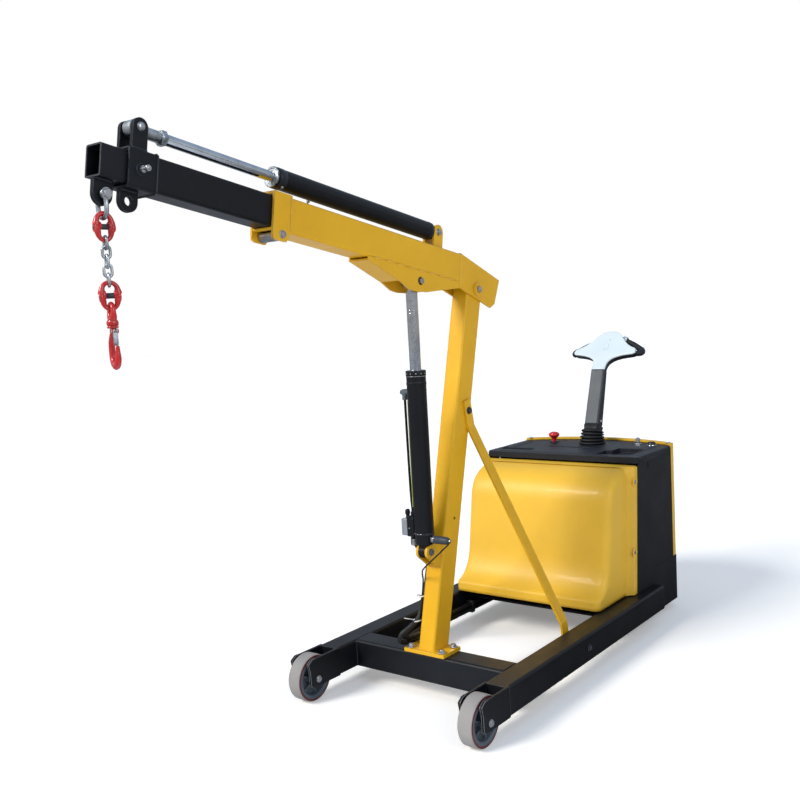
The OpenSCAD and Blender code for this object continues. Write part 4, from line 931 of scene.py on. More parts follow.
def make_reach_cylinder():
    m = BOOM
    axis = at(0, 0, ROD_PIN[1], rx=90)         # Z runs forwards along the boom
    bm = bmesh.new()

    def notch(a, r, h):
        return r - 2 if r > 26 and 852 < h < 872 and a / (math.pi / 3) % 1 < 0.16 else r

    turn(bm, [(14.3, 871), (16, 871.4), (17, 869.6), (22, 869.2), (23, 871), (27.4, 871), (28.6, 869.6),
              (28.6, 860.6), (27, 859.6)], axis, 96, notch)
    piece("reach_gland", bm, "galvanised", "boom", m, smooth=30)
    bm = bmesh.new()
    turn(bm, [(27, 860), (29.2, 859), (29.9, 857), (29.9, 838), (29.4, 836), (29.2, 834)], axis, 64)
    turn(bm, [(28.6, 160), (29.6, 156), (29.4, 150), (27, 145.5)], axis, 64)
    piece("reach_bands", bm, "weld_black", "boom", m, smooth=50)
    bm = bmesh.new()
    hex_bolt(bm, at(18, -846, 28, rx=180, ry=-25), 4.2, 4, 0, 1.5)
    turn(bm, [(0, 0), (5.5, 0), (5.5, 4), (3.2, 5), (3.2, 12), (0, 12)], at(-20, -700, 28, rx=180, ry=25), 24)
    piece("reach_bleed_screws", bm, "zinc", "boom", m, smooth=30)

    # rod with its lock nut, screwed eye and pin
    bm = bmesh.new()
    turn(bm, [(0, 560), (14, 560), (14, 1237), (12.5, 1240), (0, 1240)], axis, 56)
    piece("reach_rod_bar", bm, "chrome", "inner_boom", m, smooth=30, instead="reach_rod")
    bm = bmesh.new()
    hex_bolt(bm, axis @ at(z=1232), 20, 15, 0)
    turn(bm, [(0, 1247), (13.6, 1247), (14.5, 1250), (14.5, 1278), (16, 1290), (16, 1300), (0, 1300)], axis,
         40)
    turn(bm, [(10, -14), (18.5, -14), (20.5, -12.5), (20.5, 12.5), (18.5, 14), (10, 14)],
         at(0, *ROD_PIN, ry=90), 48)
    piece("reach_rod_eye", bm, "galvanised", "inner_boom", m, smooth=35)
    bm = bmesh.new()
    bar(bm, 10, -31, 31, at(0, *ROD_PIN, ry=90), 32)
    for s in (-1, 1):
        turn(bm, [(0, 30.2), (10.6, 30.2), (10.6, 31.4), (9.8, 32), (9.2, 34.6), (7.4, 36.2), (3, 36.8),
                  (0, 36.8)],
             at(0, *ROD_PIN, ry=90 * s), 40)
    piece("reach_rod_pin", bm, "zinc", "inner_boom", m, smooth=35)


def make_tip():
    m = BOOM
    # painted highlights: lighter rims over the cut ends of the tip and the collar
    bm = bmesh.new()
    tube_mouth_highlight(bm, 29, 76, 4, 6, 1424)
    piece("tip_mouth_highlight", bm, "dark_metal", "tip", m, smooth=30)
    bm = bmesh.new()
    tube_mouth_highlight(bm, 37.5, 94, 4.5, 8, 1355)
    piece("collar_mouth_highlight", bm, "weld_black", "inner_boom", m, smooth=30)
    # welds: rod lugs and hook lug on the collar, hook lug under the tip, collar's rear edge
    bm = bmesh.new()
    for s in (-1, 1):
        for x in (19.4, 30.6):
            bead(bm, [(s * x, -1301, -1.4), (s * x, -1344, -1.4)], 3.4)
        bead(bm, [(s * 6.6, -1303, -96.6), (s * 6.6, -1353, -96.6)], 3.6)
        bead(bm, [(s * 37.4, -1274.5, -4), (s * 37.4, -1274.5, -94)], 3)
    bead(bm, [(-35, -1274.5, -1.8), (35, -1274.5, -1.8)], 3)
    bead(bm, [(-35, -1274.5, -96.2), (35, -1274.5, -96.2)], 3)
    turn(bm, [(12.2, -0.5), (14.4, 0.6), (15.6, -0.6), (15.6, -2)], x_axis(37.6, *LOCK), 32)
    piece("collar_welds", bm, "weld_black", "inner_boom", m, smooth=80)
    bm = bmesh.new()
    for s in (-1, 1):
        bead(bm, [(s * 6.6, -1373, -87.6), (s * 6.6, -1423, -87.6)], 3.4)
    piece("tip_welds", bm, "weld_black", "tip", m, smooth=80)
    # lock screw: hexagon head, threads and its nut
    bm = bmesh.new()
    thread = [(0, 29.5), (5.2, 29.5), (5.9, 31)]
    for k in range(14):
        thread += [(5.9, 44 + k), (5.2, 44.5 + k)]
    turn(bm, thread + [(5.2, 58), (0, 58)], at(0, *LOCK, ry=90), 32)
    bar(bm, 8.4, 43.6, 45, at(0, *LOCK, ry=90), 32)
    hex_bolt(bm, x_axis(56, *LOCK), 8.2, 8.4, 0, 1.4)
    piece("lock_screw_bolt", bm, "zinc", "lock_screw", m, smooth=30, instead="lock_screw")


# ---------------------------------------------------------------- chain and hook

_, SHACKLE_Y, SHACKLE_Z = BOOM @ (Vector((0, -1398, -121)) / 1000) * 1000
BOW, CONNECTOR, LINK, EYE = 53, 61, 28.3, 36           # inner reach of the bow and lengths of the others
BOW_WIRE, CONNECTOR_WIRE, LINK_WIRE, EYE_WIRE = 5.5, 5.2, 3.5, 6
PLAY = 0.15
BOW_Z = SHACKLE_Z - BOW
CONN_1 = BOW_Z + BOW_WIRE + CONNECTOR_WIRE + PLAY
LINK_1 = CONN_1 - CONNECTOR + CONNECTOR_WIRE + LINK_WIRE + PLAY
STEP = LINK - 2 * LINK_WIRE - PLAY
CONN_2 = LINK_1 - 4 * STEP - LINK + LINK_WIRE + CONNECTOR_WIRE + PLAY
HOOK_Z = CONN_2 - CONNECTOR + CONNECTOR_WIRE + EYE_WIRE + PLAY
HOOK_TURN = 194                                       # the hook is hung with its latch towards the camera


def chain_at(z, n):
    """Frame of one piece of the chain; each stands across the one above."""
    turned = Matrix.Rotation(math.radians(80 - 93.5 * n), 4, "Z")
    return Matrix.Translation((0, SHACKLE_Y / 1000, z / 1000)) @ turned


def oval(length, half):
    """Middle line of a closed link, from the middle of one side round."""
    top, bottom = (arc(0, z, half, a, a + 180, 12) for z, a in ((-half, 0), (half - length, 180)))
    return [Vector((x, 0, z)) for x, z in top + bottom]


def make_chain():
    # bow shackle
    m = Matrix.Translation((0, SHACKLE_Y / 1000, SHACKLE_Z / 1000))
    bm = bmesh.new()
    line = [(15, 0, -6), (15.4, 0, -18), (15.8, 0, -28), (14.6, 0, -40), (10, 0, -49.2), (0, 0, -53)]
    line = line + [(-x, y, z) for x, y, z in line[-2::-1]]
    path = curve(line, 8)
    stock(bm, path, [6.6 - 1.1 * ease(min(i, len(path) - 1 - i) / 10) for i in range(len(path))], sides=20)
    for s in (-1, 1):
        turn(bm, [(8.1, -5.5), (10.5, -5.5), (12.4, -3.6), (12.6, 0), (12.4, 3.6), (10.5, 5.5), (8.1, 5.5)],
             at(14.5 * s, 0, 0, ry=90), 40, closed=True)
    piece("shackle_bow", bm, "galvanised", "shackle", m, smooth=55, instead="shackle")
    bm = bmesh.new()
    turn(bm, [(0, -21), (6.5, -21), (7.9, -19.5), (7.9, 21), (0, 21)], at(ry=90), 32)
    hex_bolt(bm, x_axis(20.2, 0, 0), 11, 7, 1.6)
    piece("shackle_pin", bm, "zinc", "shackle", m, smooth=30)

    # connectors: two forged halves on one pin
    for name, z, n in (("connector_upper", CONN_1, 0), ("connector_lower", CONN_2, 6)):
        bm = bmesh.new()
        for way in (1, -1):
            line = [Vector((x, 0, z)) for x, z in arc(0, -17.6, 17.6, 0, 180, 12)]
            ends = [Vector((19.4, 0, -27)), Vector((18.9, 0, -22))]
            line = ends + line + [Vector((-p.x, p.y, p.z)) for p in ends[::-1]]
            swell = [ease((-p.z - 3) / 22) for p in line]
            sizes = [(CONNECTOR_WIRE + 2.6 * t, CONNECTOR_WIRE + 3.6 * t) for t in swell]
            if way < 0:
                line = [Vector((p.x * 0.90, p.y, -CONNECTOR - p.z)) for p in line]
            stock(bm, line, sizes, sides=20, face=(0, 1, 0))
        for s in (-1, 1):
            turn(bm, [(0, 15.5), (9.6, 15.5), (10.6, 17), (10.6, 22.6), (9.4, 24.4), (5.4, 24.8), (0, 24.4)],
                 at(0, 0, -33, ry=90 * s), 36)
            turn(bm, [(0, 9), (8.6, 9), (9.8, 10.2), (9.8, 14.4), (8.8, 15.2), (0, 15.2)],
                 at(0, 0, -28.5, ry=90 * s), 36)
        piece(name + "_halves", bm, "red", name, chain_at(z, n), smooth=50, instead=name)
        bm = bmesh.new()
        turn(bm, [(0, -12), (4.9, -12), (6.6, -9), (6.6, 9), (4.9, 12), (0, 12)], at(0, 0, -30.5, ry=90), 32)
        for s in (-1, 1):
            turn(bm, [(0, 24.2), (4.2, 24.2), (3.6, 25.2), (0, 25.2)], at(0, 0, -33, ry=90 * s), 24)
        piece(name + "_pin", bm, "dark_metal", name, chain_at(z, n), smooth=40)

    for i in range(1, 6):
        path = oval(LINK, 8.96)
        weld = [math.exp(-((p.z + LINK / 2) / 2.4) ** 2) if p.x < 0 else 0 for p in path]
        sizes = [LINK_WIRE * (1 + 0.13 * w) for w in weld]
        bm = bmesh.new()
        stock(bm, path, sizes, sides=18, closed=True, face=(0, 1, 0))
        piece(f"chain_link_{i}", bm, "galvanised", f"link_{i}", chain_at(LINK_1 - (i - 1) * STEP, i),
              smooth=70, instead=f"link_{i}")

    # hook: forged eye, swivel collar, hook with a swelling bowl and a tapered point
    m = chain_at(HOOK_Z, 7) @ Matrix.Rotation(math.radians(HOOK_TURN), 4, "Z")
    bm = bmesh.new()
    path = oval(EYE, 15)
    sizes = [(EYE_WIRE + 2.0 * t, EYE_WIRE + 2.4 * t) for t in (ease((-p.z - 16) / 18) for p in path)]
    stock(bm, path, sizes, sides=20, closed=True, face=(0, 1, 0))
    turn(bm, [(0, -33), (9, -34), (12.6, -38), (13.8, -43), (13.2, -48), (11.2, -50.6), (0, -50.6)], segs=40)
    piece("hook_eye", bm, "red", "hook", m, smooth=60)
    bm = bmesh.new()
    turn(bm, [(0, -50.8), (12.2, -50.8), (13, -51.8), (13, -54.4), (12, -55.4), (0, -55.4)], segs=40)
    line = [(0, 0, -48), (0, 0, -54), (-0.9, 0, -61), (-4.6, 0, -68.5), (-12, 0, -75.6), (-19, 0, -83.5),
            (-23.2, 0, -93), (-24.2, 0, -105), (-24, 0, -118)]
    line += [(x, 0, z) for x, z in arc(0, -118, 24, 195, 345, 10)]
    line += [(24, 0, -117), (24.4, 0, -108), (25.4, 0, -100), (26.2, 0, -96)]
    path = curve(line, 4)
    n, sizes = len(path), []
    for i, p in enumerate(path):
        t = i / (n - 1)
        belly = math.exp(-((t - 0.60) / 0.16) ** 2)
        tip = ease((t - 0.80) / 0.2)
        sizes.append(((8.2 + 1.6 * belly) * (1 - 0.50 * tip), (7.2 + 0.9 * belly) * (1 - 0.42 * tip)))
    sizes[-1] = (2.2, 2.0)
    stock(bm, path, sizes, sides=24, face=(0, 1, 0))
    for y in (-1, 1):
        plate(bm, rounded([(-2, -57), (14, -56.4), (19.4, -60), (19.4, -65), (14, -68), (-3, -69)], 3.5),
              y * 6.5 - 1.1, y * 6.5 + 1.1, "y")
    piece("hook_body", bm, "red", "hook", m, smooth=60, instead="hook")
    # stamped latch with its spring and pin
    bm = bmesh.new()
    leaf = m @ Matrix.Translation((0.014, 0, -0.062)) @ Matrix.Rotation(math.radians(-6), 4, "Y")
    for y in (-1, 1):
        plate(bm, rounded([(-3.8, 3.8), (4.2, 3.8), (3.4, -14), (1.6, -31), (-1.6, -31), (-2.4, -14)], 2),
              y * 4.6 - 0.6, y * 4.6 + 0.6, "y")
    rows = []
    for z, x in ((-4, 3.2), (-14, 2.4), (-24, 1.6), (-31, 0.2), (-33.6, -1.6)):
        rows.append([(x + dx, y, z) for dx, y in ((-0.7, -5), (0.7, -5), (0.7, 5), (-0.7, 5))])
    loft(bm, rows)
    turn(bm, [(0, -8.6), (3.6, -8.6), (3.6, -7.8), (2.45, -7.6), (2.45, 7.6), (3.6, 7.8), (3.6, 8.6),
              (0, 8.6)], at(rx=90), 28)
    coil = [Vector((3.1 * math.cos(0.8 * i), -3 + 0.16 * i, 3.1 * math.sin(0.8 * i))) for i in range(38)]
    stock(bm, coil, 0.55, sides=6)
    piece("latch_leaf", bm, "galvanised", "hook_latch", leaf, smooth=35, instead="hook_latch")


make_boom()
make_reach_cylinder()
make_tip()
make_chain()


# ---------------------------------------------------------------- lift ram, mast fittings and hoses

BRACE = (math.radians(10.96), 857.6)          # tilt and length of the braces


def make_ram():
    axis = at(0, RAM_Y, 0)
    # gland cap with its screws and the line of bare metal below it
    bm = bmesh.new()
    turn(bm, [(19.4, 1108), (29, 1108.4), (33.2, 1107.4), (33.8, 1105), (33.8, 1091), (33.2, 1090),
              (32.4, 1090)], axis, 72)
    turn(bm, [(32.6, 1070), (33.3, 1067), (33.3, 1063), (32.6, 1060)], axis, 72)
    piece("ram_gland_cap", bm, "black", "lift_barrel", smooth=30)
    bm = bmesh.new()
    turn(bm, [(32.4, 1090.2), (33.4, 1089.6), (33.4, 1088.2), (32.4, 1087.6)], axis, 72)
    for a in (-150, -118, -86, -54, -22, 10):
        screw(bm, axis @ at(0, 0, 1098, rz=a) @ at(33.4, 0, 0, ry=90), 2.4, 1.0)
    turn(bm, [(19.2, 1108.2), (22.4, 1109.6), (23.6, 1108.6), (23.6, 1107)], axis, 56)
    piece("ram_gland_bright", bm, "zinc", "lift_barrel", smooth=30)
    # weld ring near the foot with its bright scraped spots
    bm = bmesh.new()
    bead(bm, [(x, y, 564) for x, y in arc(0, RAM_Y, 32.6, -178, 2, 45)], 2.6)
    piece("ram_weld", bm, "weld_black", "lift_barrel", smooth=80)
    bm = bmesh.new()
    for a, b in ((-124, -106), (-98, -86), (-76, -70)):
        spot = [Vector((x, y, 565.4)) for x, y in arc(0, RAM_Y, 34.6, a, b, (b - a) // 3)]
        stock(bm, spot, 0.9, sides=8)
    piece("ram_weld_spots", bm, "galvanised", "lift_barrel", smooth=60)

    # rod: chromed bar with the line of its screwed end, and the eye on the boom's stub pins
    bm = bmesh.new()
    turn(bm, [(0, 775), (19, 775), (19, 1294.5), (18.5, 1295), (18.5, 1296.2), (19.2, 1296.8), (19.2, 1303),
              (18.5, 1303.6), (18.5, 1304.6), (19, 1305.2), (19, 1384), (0, 1384)], axis, 72)
    piece("ram_rod_bar", bm, "chrome", "lift_rod", smooth=25, instead="lift_rod")
    bm = bmesh.new()
    turn(bm, [(12, -19), (20, -19), (22, -17), (22, 17), (20, 19), (12, 19)], at(0, *STUB, ry=90), 48)
    bar(bm, 26.6, 776, 799, axis, 48)
    piece("ram_rod_eye", bm, "steel", "lift_rod", smooth=35)

    # valve: bright block, black block with its caps, pipe up the barrel, earth wire beside it
    bm = bmesh.new()
    block(bm, -84.5, -61, RAM_Y - 14, RAM_Y + 14, 551, 608)
    soften(piece("valve_block", bm, "galvanised", "lift_barrel", smooth=30, instead="lift_valve"), 1.4)
    bm = bmesh.new()
    plate(bm, rounded([(-61, 549), (-33.2, 549), (-33.2, 611), (-44, 611), (-52, 620), (-61, 616)], 3),
          RAM_Y - 15, RAM_Y + 15, "y")
    turn(bm, [(0, 606), (6.5, 606), (6.5, 622), (8.6, 624), (8.6, 634), (7, 638), (3, 640), (0, 640)],
         at(-66, RAM_Y, 0), 32)
    turn(bm, [(0, 610), (7.6, 610), (7.6, 630), (6, 634), (0, 634)], at(-44, RAM_Y, 0), 32)
    bar(bm, 9, 538, 550, at(-50, RAM_Y + 4, 0), 32)
    soften(piece("valve_body", bm, "black", "lift_barrel", smooth=30), 1.2)
    bm = bmesh.new()
    for z in (560, 599):
        hex_bolt(bm, x_axis(-84.6, RAM_Y, z, -1), 4.6, 3.4, 0, 0)
    turn(bm, [(0, 15), (2.6, 15), (2.6, 17.2), (0, 17.6)], at(-50, RAM_Y, 578, rx=90), 20)
    piece("valve_screws", bm, "zinc", "lift_barrel", smooth=30)
    bm = bmesh.new()
    pipe = curve([(-44, RAM_Y, 630), (-48, RAM_Y, 700), (-50, RAM_Y, 860), (-51, RAM_Y, 1018),
                  (-49, RAM_Y, 1032), (-40, RAM_Y, 1038)], 8)
    stock(bm, pipe, 4.2, sides=16)
    piece("ram_pipe", bm, "black", "lift_barrel", smooth=60)
    bm = bmesh.new()
    hex_bolt(bm, at(-51, RAM_Y, 1010), 9.4, 13, 0, 0)
    turn(bm, [(0, 1022), (8.6, 1022), (9.6, 1028), (9.6, 1042), (8, 1046), (0, 1046)], at(-51, RAM_Y, 0), 28)
    turn(bm, [(0, 30), (8.2, 30), (8.2, 64), (6.8, 66), (0, 66)], at(0, RAM_Y, 1036, ry=-90), 28)
    piece("ram_elbow", bm, "hub", "lift_barrel", smooth=35)
    bm = bmesh.new()
    wire = curve([(-36.6, RAM_Y - 5, 1006), (-36.4, RAM_Y - 6, 900), (-36.6, RAM_Y - 6, 760),
                  (-37.4, RAM_Y - 6, 650)], 8)
    stock(bm, wire, 1.5, sides=10)
    piece("earth_wire", bm, "earth_green", "lift_barrel", smooth=60)

    # solenoid: bright nut and neck, tapered can with its end cap
    sol = at(0, RAM_Y, 545, ry=90)
    bm = bmesh.new()
    hex_bolt(bm, sol @ at(z=32.4), 13, 6, 0, 0)
    turn(bm, [(0, 38), (10.4, 38), (11.6, 39.4), (11.6, 42), (0, 42)], sol, 40)
    turn(bm, [(0, 98), (4.4, 98), (5, 101), (4.4, 104), (3, 106), (0, 106.4)], sol, 24)
    piece("solenoid_nut", bm, "zinc", "lift_barrel", smooth=30)
    bm = bmesh.new()
    turn(bm, [(10, 41.6), (12.6, 42.4), (13.8, 45), (13.8, 52), (13.2, 53), (13.2, 54.5), (13.7, 56),
              (13.4, 78), (12.4, 90), (10.6, 96), (8, 99), (0, 99.6)], sol, 56)
    piece("solenoid_can", bm, "slate", "lift_barrel", smooth=30)


def make_hoses():
    # cable from the solenoid down the mast's edge
    bm = bmesh.new()
    cable = curve([(104, RAM_Y - 1, 543), (98, RAM_Y - 10, 533), (72, RAM_Y - 22, 506), (30, RAM_Y - 26, 468),
                   (0, RAM_Y - 20, 442), (-24, RAM_Y + 8, 416), (-36, 8, 390), (-37.5, 2, 345),
                   (-38.5, -10, 295), (-43, -20, 250)],
                   8)
    stock(bm, cable, 2.6, sides=12)
    piece("solenoid_cable", bm, "hose", "frame", smooth=70)
    # two hoses: behind the mast's edge, bundled at its foot, over the beam and back along the left leg
    for i in (0, 1):
        z = 74 + 22 * i
        pts = [(-50 - 3 * i, RAM_Y + 4 + 2 * i, 546), (-50 - 3 * i, RAM_Y + 24, 510), (-44, 50 + 8 * i, 450),
               (-44, 42 + 10 * i, 390), (-46, 16 + 9 * i, 320), (-51 - 4 * i, -8 + 8 * i, 262)]
        if i == 0:
            pts += [(-66, -36, 236), (-88, -60, 212), (-98, -58, 186), (-100, -30, 172), (-102, 10, 166),
                    (-106, 46, 160)]
        else:
            pts += [(-74, -18, 232), (-92, -30, 206), (-94, -18, 186), (-92, 6, 182), (-96, 36, 180),
                    (-110, 62, 172)]
        pts += [(-128 - 4 * i, 86 + 6 * i, 138 + 20 * i), (-180, 122 + 4 * i, z + 26), (-240, 176, z + 6),
                (-272, 260, z), (-276, 420, z), (-276, 700, z), (-276, 1030, z)]
        bm = bmesh.new()
        path = along(curve(pts, 12), 11)
        stock(bm, path, [8.2 + 0.35 * (k % 2) for k in range(len(path))], sides=18)
        piece(f"hose_{i + 1}", bm, "hose", "frame", smooth=75, instead="" if i else "hydraulic_hoses")
        bm = bmesh.new()
        turn(bm, [(0, 516), (9.8, 516), (10.2, 520), (10.2, 538), (8.4, 540), (8.4, 547), (0, 547)],
             at(-50 - 3 * i, RAM_Y + 6 + 2 * i, 0), 32)
        piece(f"hose_ferrule_{i + 1}", bm, "zinc", "lift_barrel", smooth=30)
    # white cable ties with their tails, and the clamps on the leg
    bm = bmesh.new()
    for x, y, z, r, tail in ((-42, 8, 334, 11, (-50, -14, 336)), (-52, -12, 252, 13, (-90, -40, 262))):
        ring = [Vector((x + r * math.cos(a), y + 1.25 * r * math.sin(a), z + 3 * math.cos(a)))
                for a in circle(18)]
        stock(bm, ring, (1.0, 2.4), sides=8, closed=True, face=(0, 0, 1))
        block(bm, x - r - 4, x - r + 3, y - 5, y + 1, z - 3, z + 3)
        stock(bm, curve([(x - r, y, z), ((x - r + tail[0]) / 2, (y + tail[1]) / 2 - 3, z + 6), tail], 6),
              (0.8, 1.8), sides=8, face=(0, 0, 1))
    piece("cable_ties", bm, "white_plastic", "frame", smooth=40)
    bm = bmesh.new()
    for y in (440, 640):
        plate(bm, rounded(box_outline(-300.8, -262, 60, 109), 8), y, y + 14, "y")
    soften(piece("hose_clamps", bm, "black_plastic", "frame", smooth=30), 1.2)


def make_mast_fittings():
    bolts = [(at(x * 64, -9 + y * 34, 168, rz=20 + 35 * x + 11 * y), 11, 7, 2, 2.4)
             for x in (-1, 1) for y in (-1, 1)]
    hexes("foot_bolts", bolts, "zinc", "frame", instead="frame_bolts")
    bm = bmesh.new()
    for s in (-1, 1):
        hex_bolt(bm, x_axis(s * 41, 222, 949, s), 10, 6.5, 1.6, 1.5)
    piece("brace_bolts", bm, "dark_metal", "frame", smooth=30)
    tilt, run = BRACE
    bm = bmesh.new()
    for s in (-1, 1):
        y, z = 222 + run * math.sin(tilt), 949 - run * math.cos(tilt)
        hex_bolt(bm, x_axis(s * 386, y, z, s), 9, 5.5, 1.5, 1.0)
        hex_bolt(bm, x_axis(s * 293, y, z, -s), 9, 5.5, 1.5, 1.0)
        bar(bm, 5.4, -94, 94, at(s * 339.5, y, z, ry=90) @ Matrix.Diagonal((1, 1, 0.5, 1)), 20)
    piece("leg_bolts", bm, "dark_metal", "frame", smooth=30)
    # clevis pin
    bm = bmesh.new()
    bar(bm, 12, -25, 25, at(0, RAM_Y, 500, ry=90), 32)
    for s in (-1, 1):
        hex_bolt(bm, x_axis(s * 23, RAM_Y, 500, s), 11.5, 6, 0, 1.5)
    piece("clevis_bolt", bm, "hub", "frame", smooth=30, instead="ram_foot_pin")
    # welds of the mast's foot and of the beam to the legs
    bm = bmesh.new()
    for x0, y0, x1, y1 in ((-33, -43, 33, -43), (33, -43, 33, 26), (-33, 26, 33, 26), (-33, -43, -33, 26)):
        bead(bm, [(x0, y0, 167), (x1, y1, 167)], 2.6)
    piece("mast_weld", bm, "yellow", "frame", smooth=80)
    bm = bmesh.new()
    for s in (-1, 1):
        bead(bm, [(s * 300.6, -54.4, 60), (s * 300.6, -54.4, 150)], 3)
        bead(bm, [(s * 300.6, 39.4, 60), (s * 300.6, 39.4, 150)], 3)
        bead(bm, [(s * 386, -148.4, 60), (s * 386, -148.4, 152)], 1.8)
    piece("frame_welds", bm, "weld_black", "frame", smooth=80)


WHEEL_X, AXLE_Z = 343.5, 80


def make_front_wheels():
    for side, s in (("left", -1), ("right", 1)):
        m = at(s * WHEEL_X, -AXLE_TO_FOOT, AXLE_Z, ry=90)
        body = f"front_wheel_{side}"
        bm = bmesh.new()
        tread = [(AXLE_Z - 0.5 * (k / 6) ** 2, k * 3.4) for k in range(-6, 7)]
        profile = [(71, -24), (76, -24.9), *arc(75.6, -21, 4.0, -90, -8, 6), *tread,
                   *arc(75.6, 21, 4.0, 8, 90, 6), (76, 24.9), (71, 24)]
        turn(bm, profile, m, 128, closed=True)
        piece(f"tyre_tread_{side}", bm, "tread", body, smooth=45, instead=f"front_tyre_{side}")
        bm = bmesh.new()
        for e in (-1, 1):
            turn(bm, [(70, e * 23), (70.4, e * 25.2), (72.5, e * 25.9), (75.6, e * 25.9), (77.4, e * 25.0),
                      (76, e * 23)], m, 128, closed=True)
        piece(f"tyre_band_{side}", bm, "tread_side", body, smooth=60)
        bm = bmesh.new()
        for e in (-1, 1):
            turn(bm, [(71.5, e * 22), (70.6, e * 25.2), (66, e * 25.6), (61, e * 25.0), (58, e * 22.5),
                      (56, e * 14), (54, e * 6), (24, e * 5), (21.5, e * 8), (20.5, e * 26), (19, e * 29.5),
                      (14, e * 30), (13, e * 28.5), (10.6, e * 28.5), (10.6, e * 2), (71.5, e * 2)], m, 96,
                      closed=True)
            for k in range(6):
                spoke = m @ at(rz=60 * k + 12)
                rib = [(19, 5), (57, 5), (57, 13), (40, 14.5), (21, 23), (19, 23)]
                plate(bm, [(r, e * x) for r, x in rib], -3.2, 3.2, "y", spoke)
        piece(f"wheel_hub_{side}", bm, "hub", body, smooth=35, instead=f"front_hub_{side}")
    bm = bmesh.new()
    for s in (-1, 1):
        for e in (-1, 1):
            turn(bm, [(0, 0), (12, 0), (12, 1.2), (10.6, 2.2), (10.2, 4.6), (8.6, 6), (3, 6.4), (2.2, 5.6),
                      (0, 5.6)],
                 x_axis(s * WHEEL_X + e * 42.5, -AXLE_TO_FOOT, AXLE_Z, e), 36)
        bar(bm, 9.9, -44, 44, at(s * WHEEL_X, -AXLE_TO_FOOT, AXLE_Z, ry=90), 32)
    piece("axle_bolts", bm, "steel", "frame", smooth=35, instead="front_axles")
    # worn bare edges of the fork plates
    bm = bmesh.new()
    for s in (-1, 1):
        for x in (301.6, 309.2, 377.8, 385.4):
            edge = [(-270, 155), (-285, 154), (-303, 142), (-299.5, 126), (-296, 112), (-295, 66), (-286, 56)]
            path = along([Vector((s * x, y, z)) for y, z in edge], 4)
            stock(bm, path, [0.5 + 0.5 * abs(math.sin(k * 1.7)) for k in range(len(path))], sides=6)
    piece("fork_worn_edges", bm, "worn_edge", "frame", smooth=60)


make_ram()
make_hoses()
make_mast_fittings()
make_front_wheels()


# ---------------------------------------------------------------- floor, light and camera

def make_floor():
    me = bpy.data.meshes.new("floor")
    bm = bmesh.new()
    bmesh.ops.create_grid(bm, x_segments=1, y_segments=1, size=40)
    bm.to_mesh(me)
    bm.free()
    floor = bpy.data.objects.new("floor", me)
    bpy.context.collection.objects.link(floor)
    m, nt, bsdf = new_material("floor_white")
    # seen straight on the floor is near white; in reflections it is darker, as on open ground
    path = node(nt, "ShaderNodeLightPath")
    patches = ramp(nt, noise(nt, 0.32, 2, 0.5),
                   [(0.38, (0.05, 0.05, 0.05)), (0.50, (0.24, 0.23, 0.22)), (0.62, (0.70, 0.74, 0.80))])
    glow = node(nt, "ShaderNodeMapRange", path.outputs["Is Camera Ray"], To_Min=0.0, To_Max=0.24).outputs[0]
    feed(nt, bsdf, {
        "Base Color": mix(nt, path.outputs["Is Glossy Ray"], (0.95, 0.94, 0.92), patches),
        "Roughness": 0.9, "Emission Color": (1, 0.985, 0.96), "Emission Strength": glow}.items())
    me.materials.append(m)


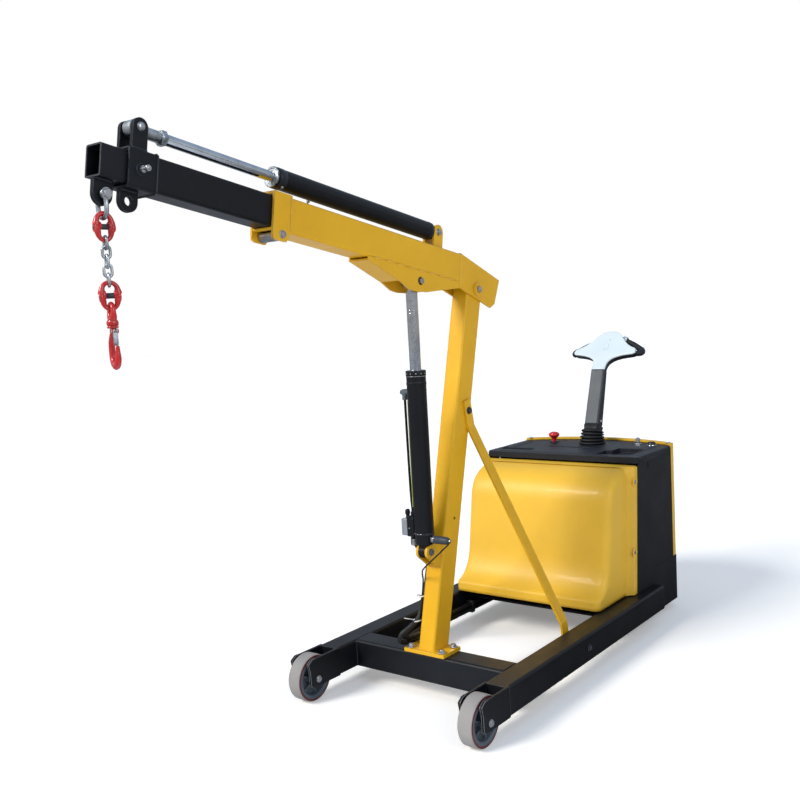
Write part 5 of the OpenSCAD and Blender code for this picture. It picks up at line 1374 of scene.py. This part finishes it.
def make_sky():
    """Soft dome for light and reflections, plain white behind the object."""
    w = bpy.data.worlds.new("studio")
    bpy.context.scene.world = w
    w.use_nodes = True
    nt = w.node_tree
    nt.nodes.clear()
    where = node(nt, "ShaderNodeTexCoord").outputs["Generated"]
    height = node(nt, "ShaderNodeSeparateXYZ", where).outputs["Z"]
    sky = ramp(nt, node(nt, "ShaderNodeMapRange", height, From_Min=-1.0).outputs[0],
               [(0.0, (0.40, 0.36, 0.30)), (0.47, (0.34, 0.32, 0.30)), (0.55, (0.92, 0.94, 0.98)),
                (0.72, (0.62, 0.74, 0.92)), (1.0, (0.50, 0.66, 0.95))])
    dome = node(nt, "ShaderNodeBackground", sky, 0.55).outputs[0]
    plain = node(nt, "ShaderNodeBackground", WHITE).outputs[0]
    seen = node(nt, "ShaderNodeLightPath").outputs["Is Camera Ray"]
    node(nt, "ShaderNodeOutputWorld", node(nt, "ShaderNodeMixShader", seen, dome, plain).outputs[0])


def lamp(name, kind, loc, target, power, colour, **shape):
    li = bpy.data.lights.new(name, kind)
    for k, v in shape.items():
        setattr(li, k, v)
    li.energy, li.color = power, colour
    o = bpy.data.objects.new(name, li)
    bpy.context.collection.objects.link(o)
    o.location = loc
    o.rotation_euler = (Vector(target) - Vector(loc)).to_track_quat("-Z", "Y").to_euler()


# the photograph's view: azimuth, pitch and roll in degrees, place in work coordinates, lens and shift
CAMERA_ANGLES = (38.53, 6.167, -3.295)
CAMERA_PLACE = (1854.8, -2500.2, 1279.6)
CAMERA_LENS = 42.48
CAMERA_SHIFT = (0.0131, 0.0266)


def make_camera():
    az, pitch, roll = (math.radians(v) for v in CAMERA_ANGLES)
    right = Vector((math.cos(az), math.sin(az), 0))
    look = Vector((-math.sin(az) * math.cos(pitch), math.cos(az) * math.cos(pitch), -math.sin(pitch)))
    up = right.cross(look)
    rolled_right = math.cos(roll) * right + math.sin(roll) * up
    rolled_up = -math.sin(roll) * right + math.cos(roll) * up
    cam = bpy.data.cameras.new("camera")
    cam.lens, cam.sensor_width, cam.clip_end = CAMERA_LENS, 36, 100
    cam.shift_x, cam.shift_y = CAMERA_SHIFT
    o = bpy.data.objects.new("camera", cam)
    bpy.context.collection.objects.link(o)
    o.matrix_world = Matrix.Translation(W(*CAMERA_PLACE)) @ Matrix((rolled_right, rolled_up,
                                                                    -look)).transposed().to_4x4()
    bpy.context.scene.camera = o


make_floor()
make_sky()
lamp("key", "SUN", (-2.2, -5.0, 4.2), (0, 0, 0), 2.7, (1.0, 0.965, 0.90), angle=math.radians(20))
lamp("fill", "AREA", (4.2, -1.6, 3.0), (0, 0, 1.0), 55, (0.93, 0.96, 1.0), shape="RECTANGLE", size=2.5,
     size_y=2.0)
make_camera()
bpy.context.scene.view_settings.view_transform = "Standard"
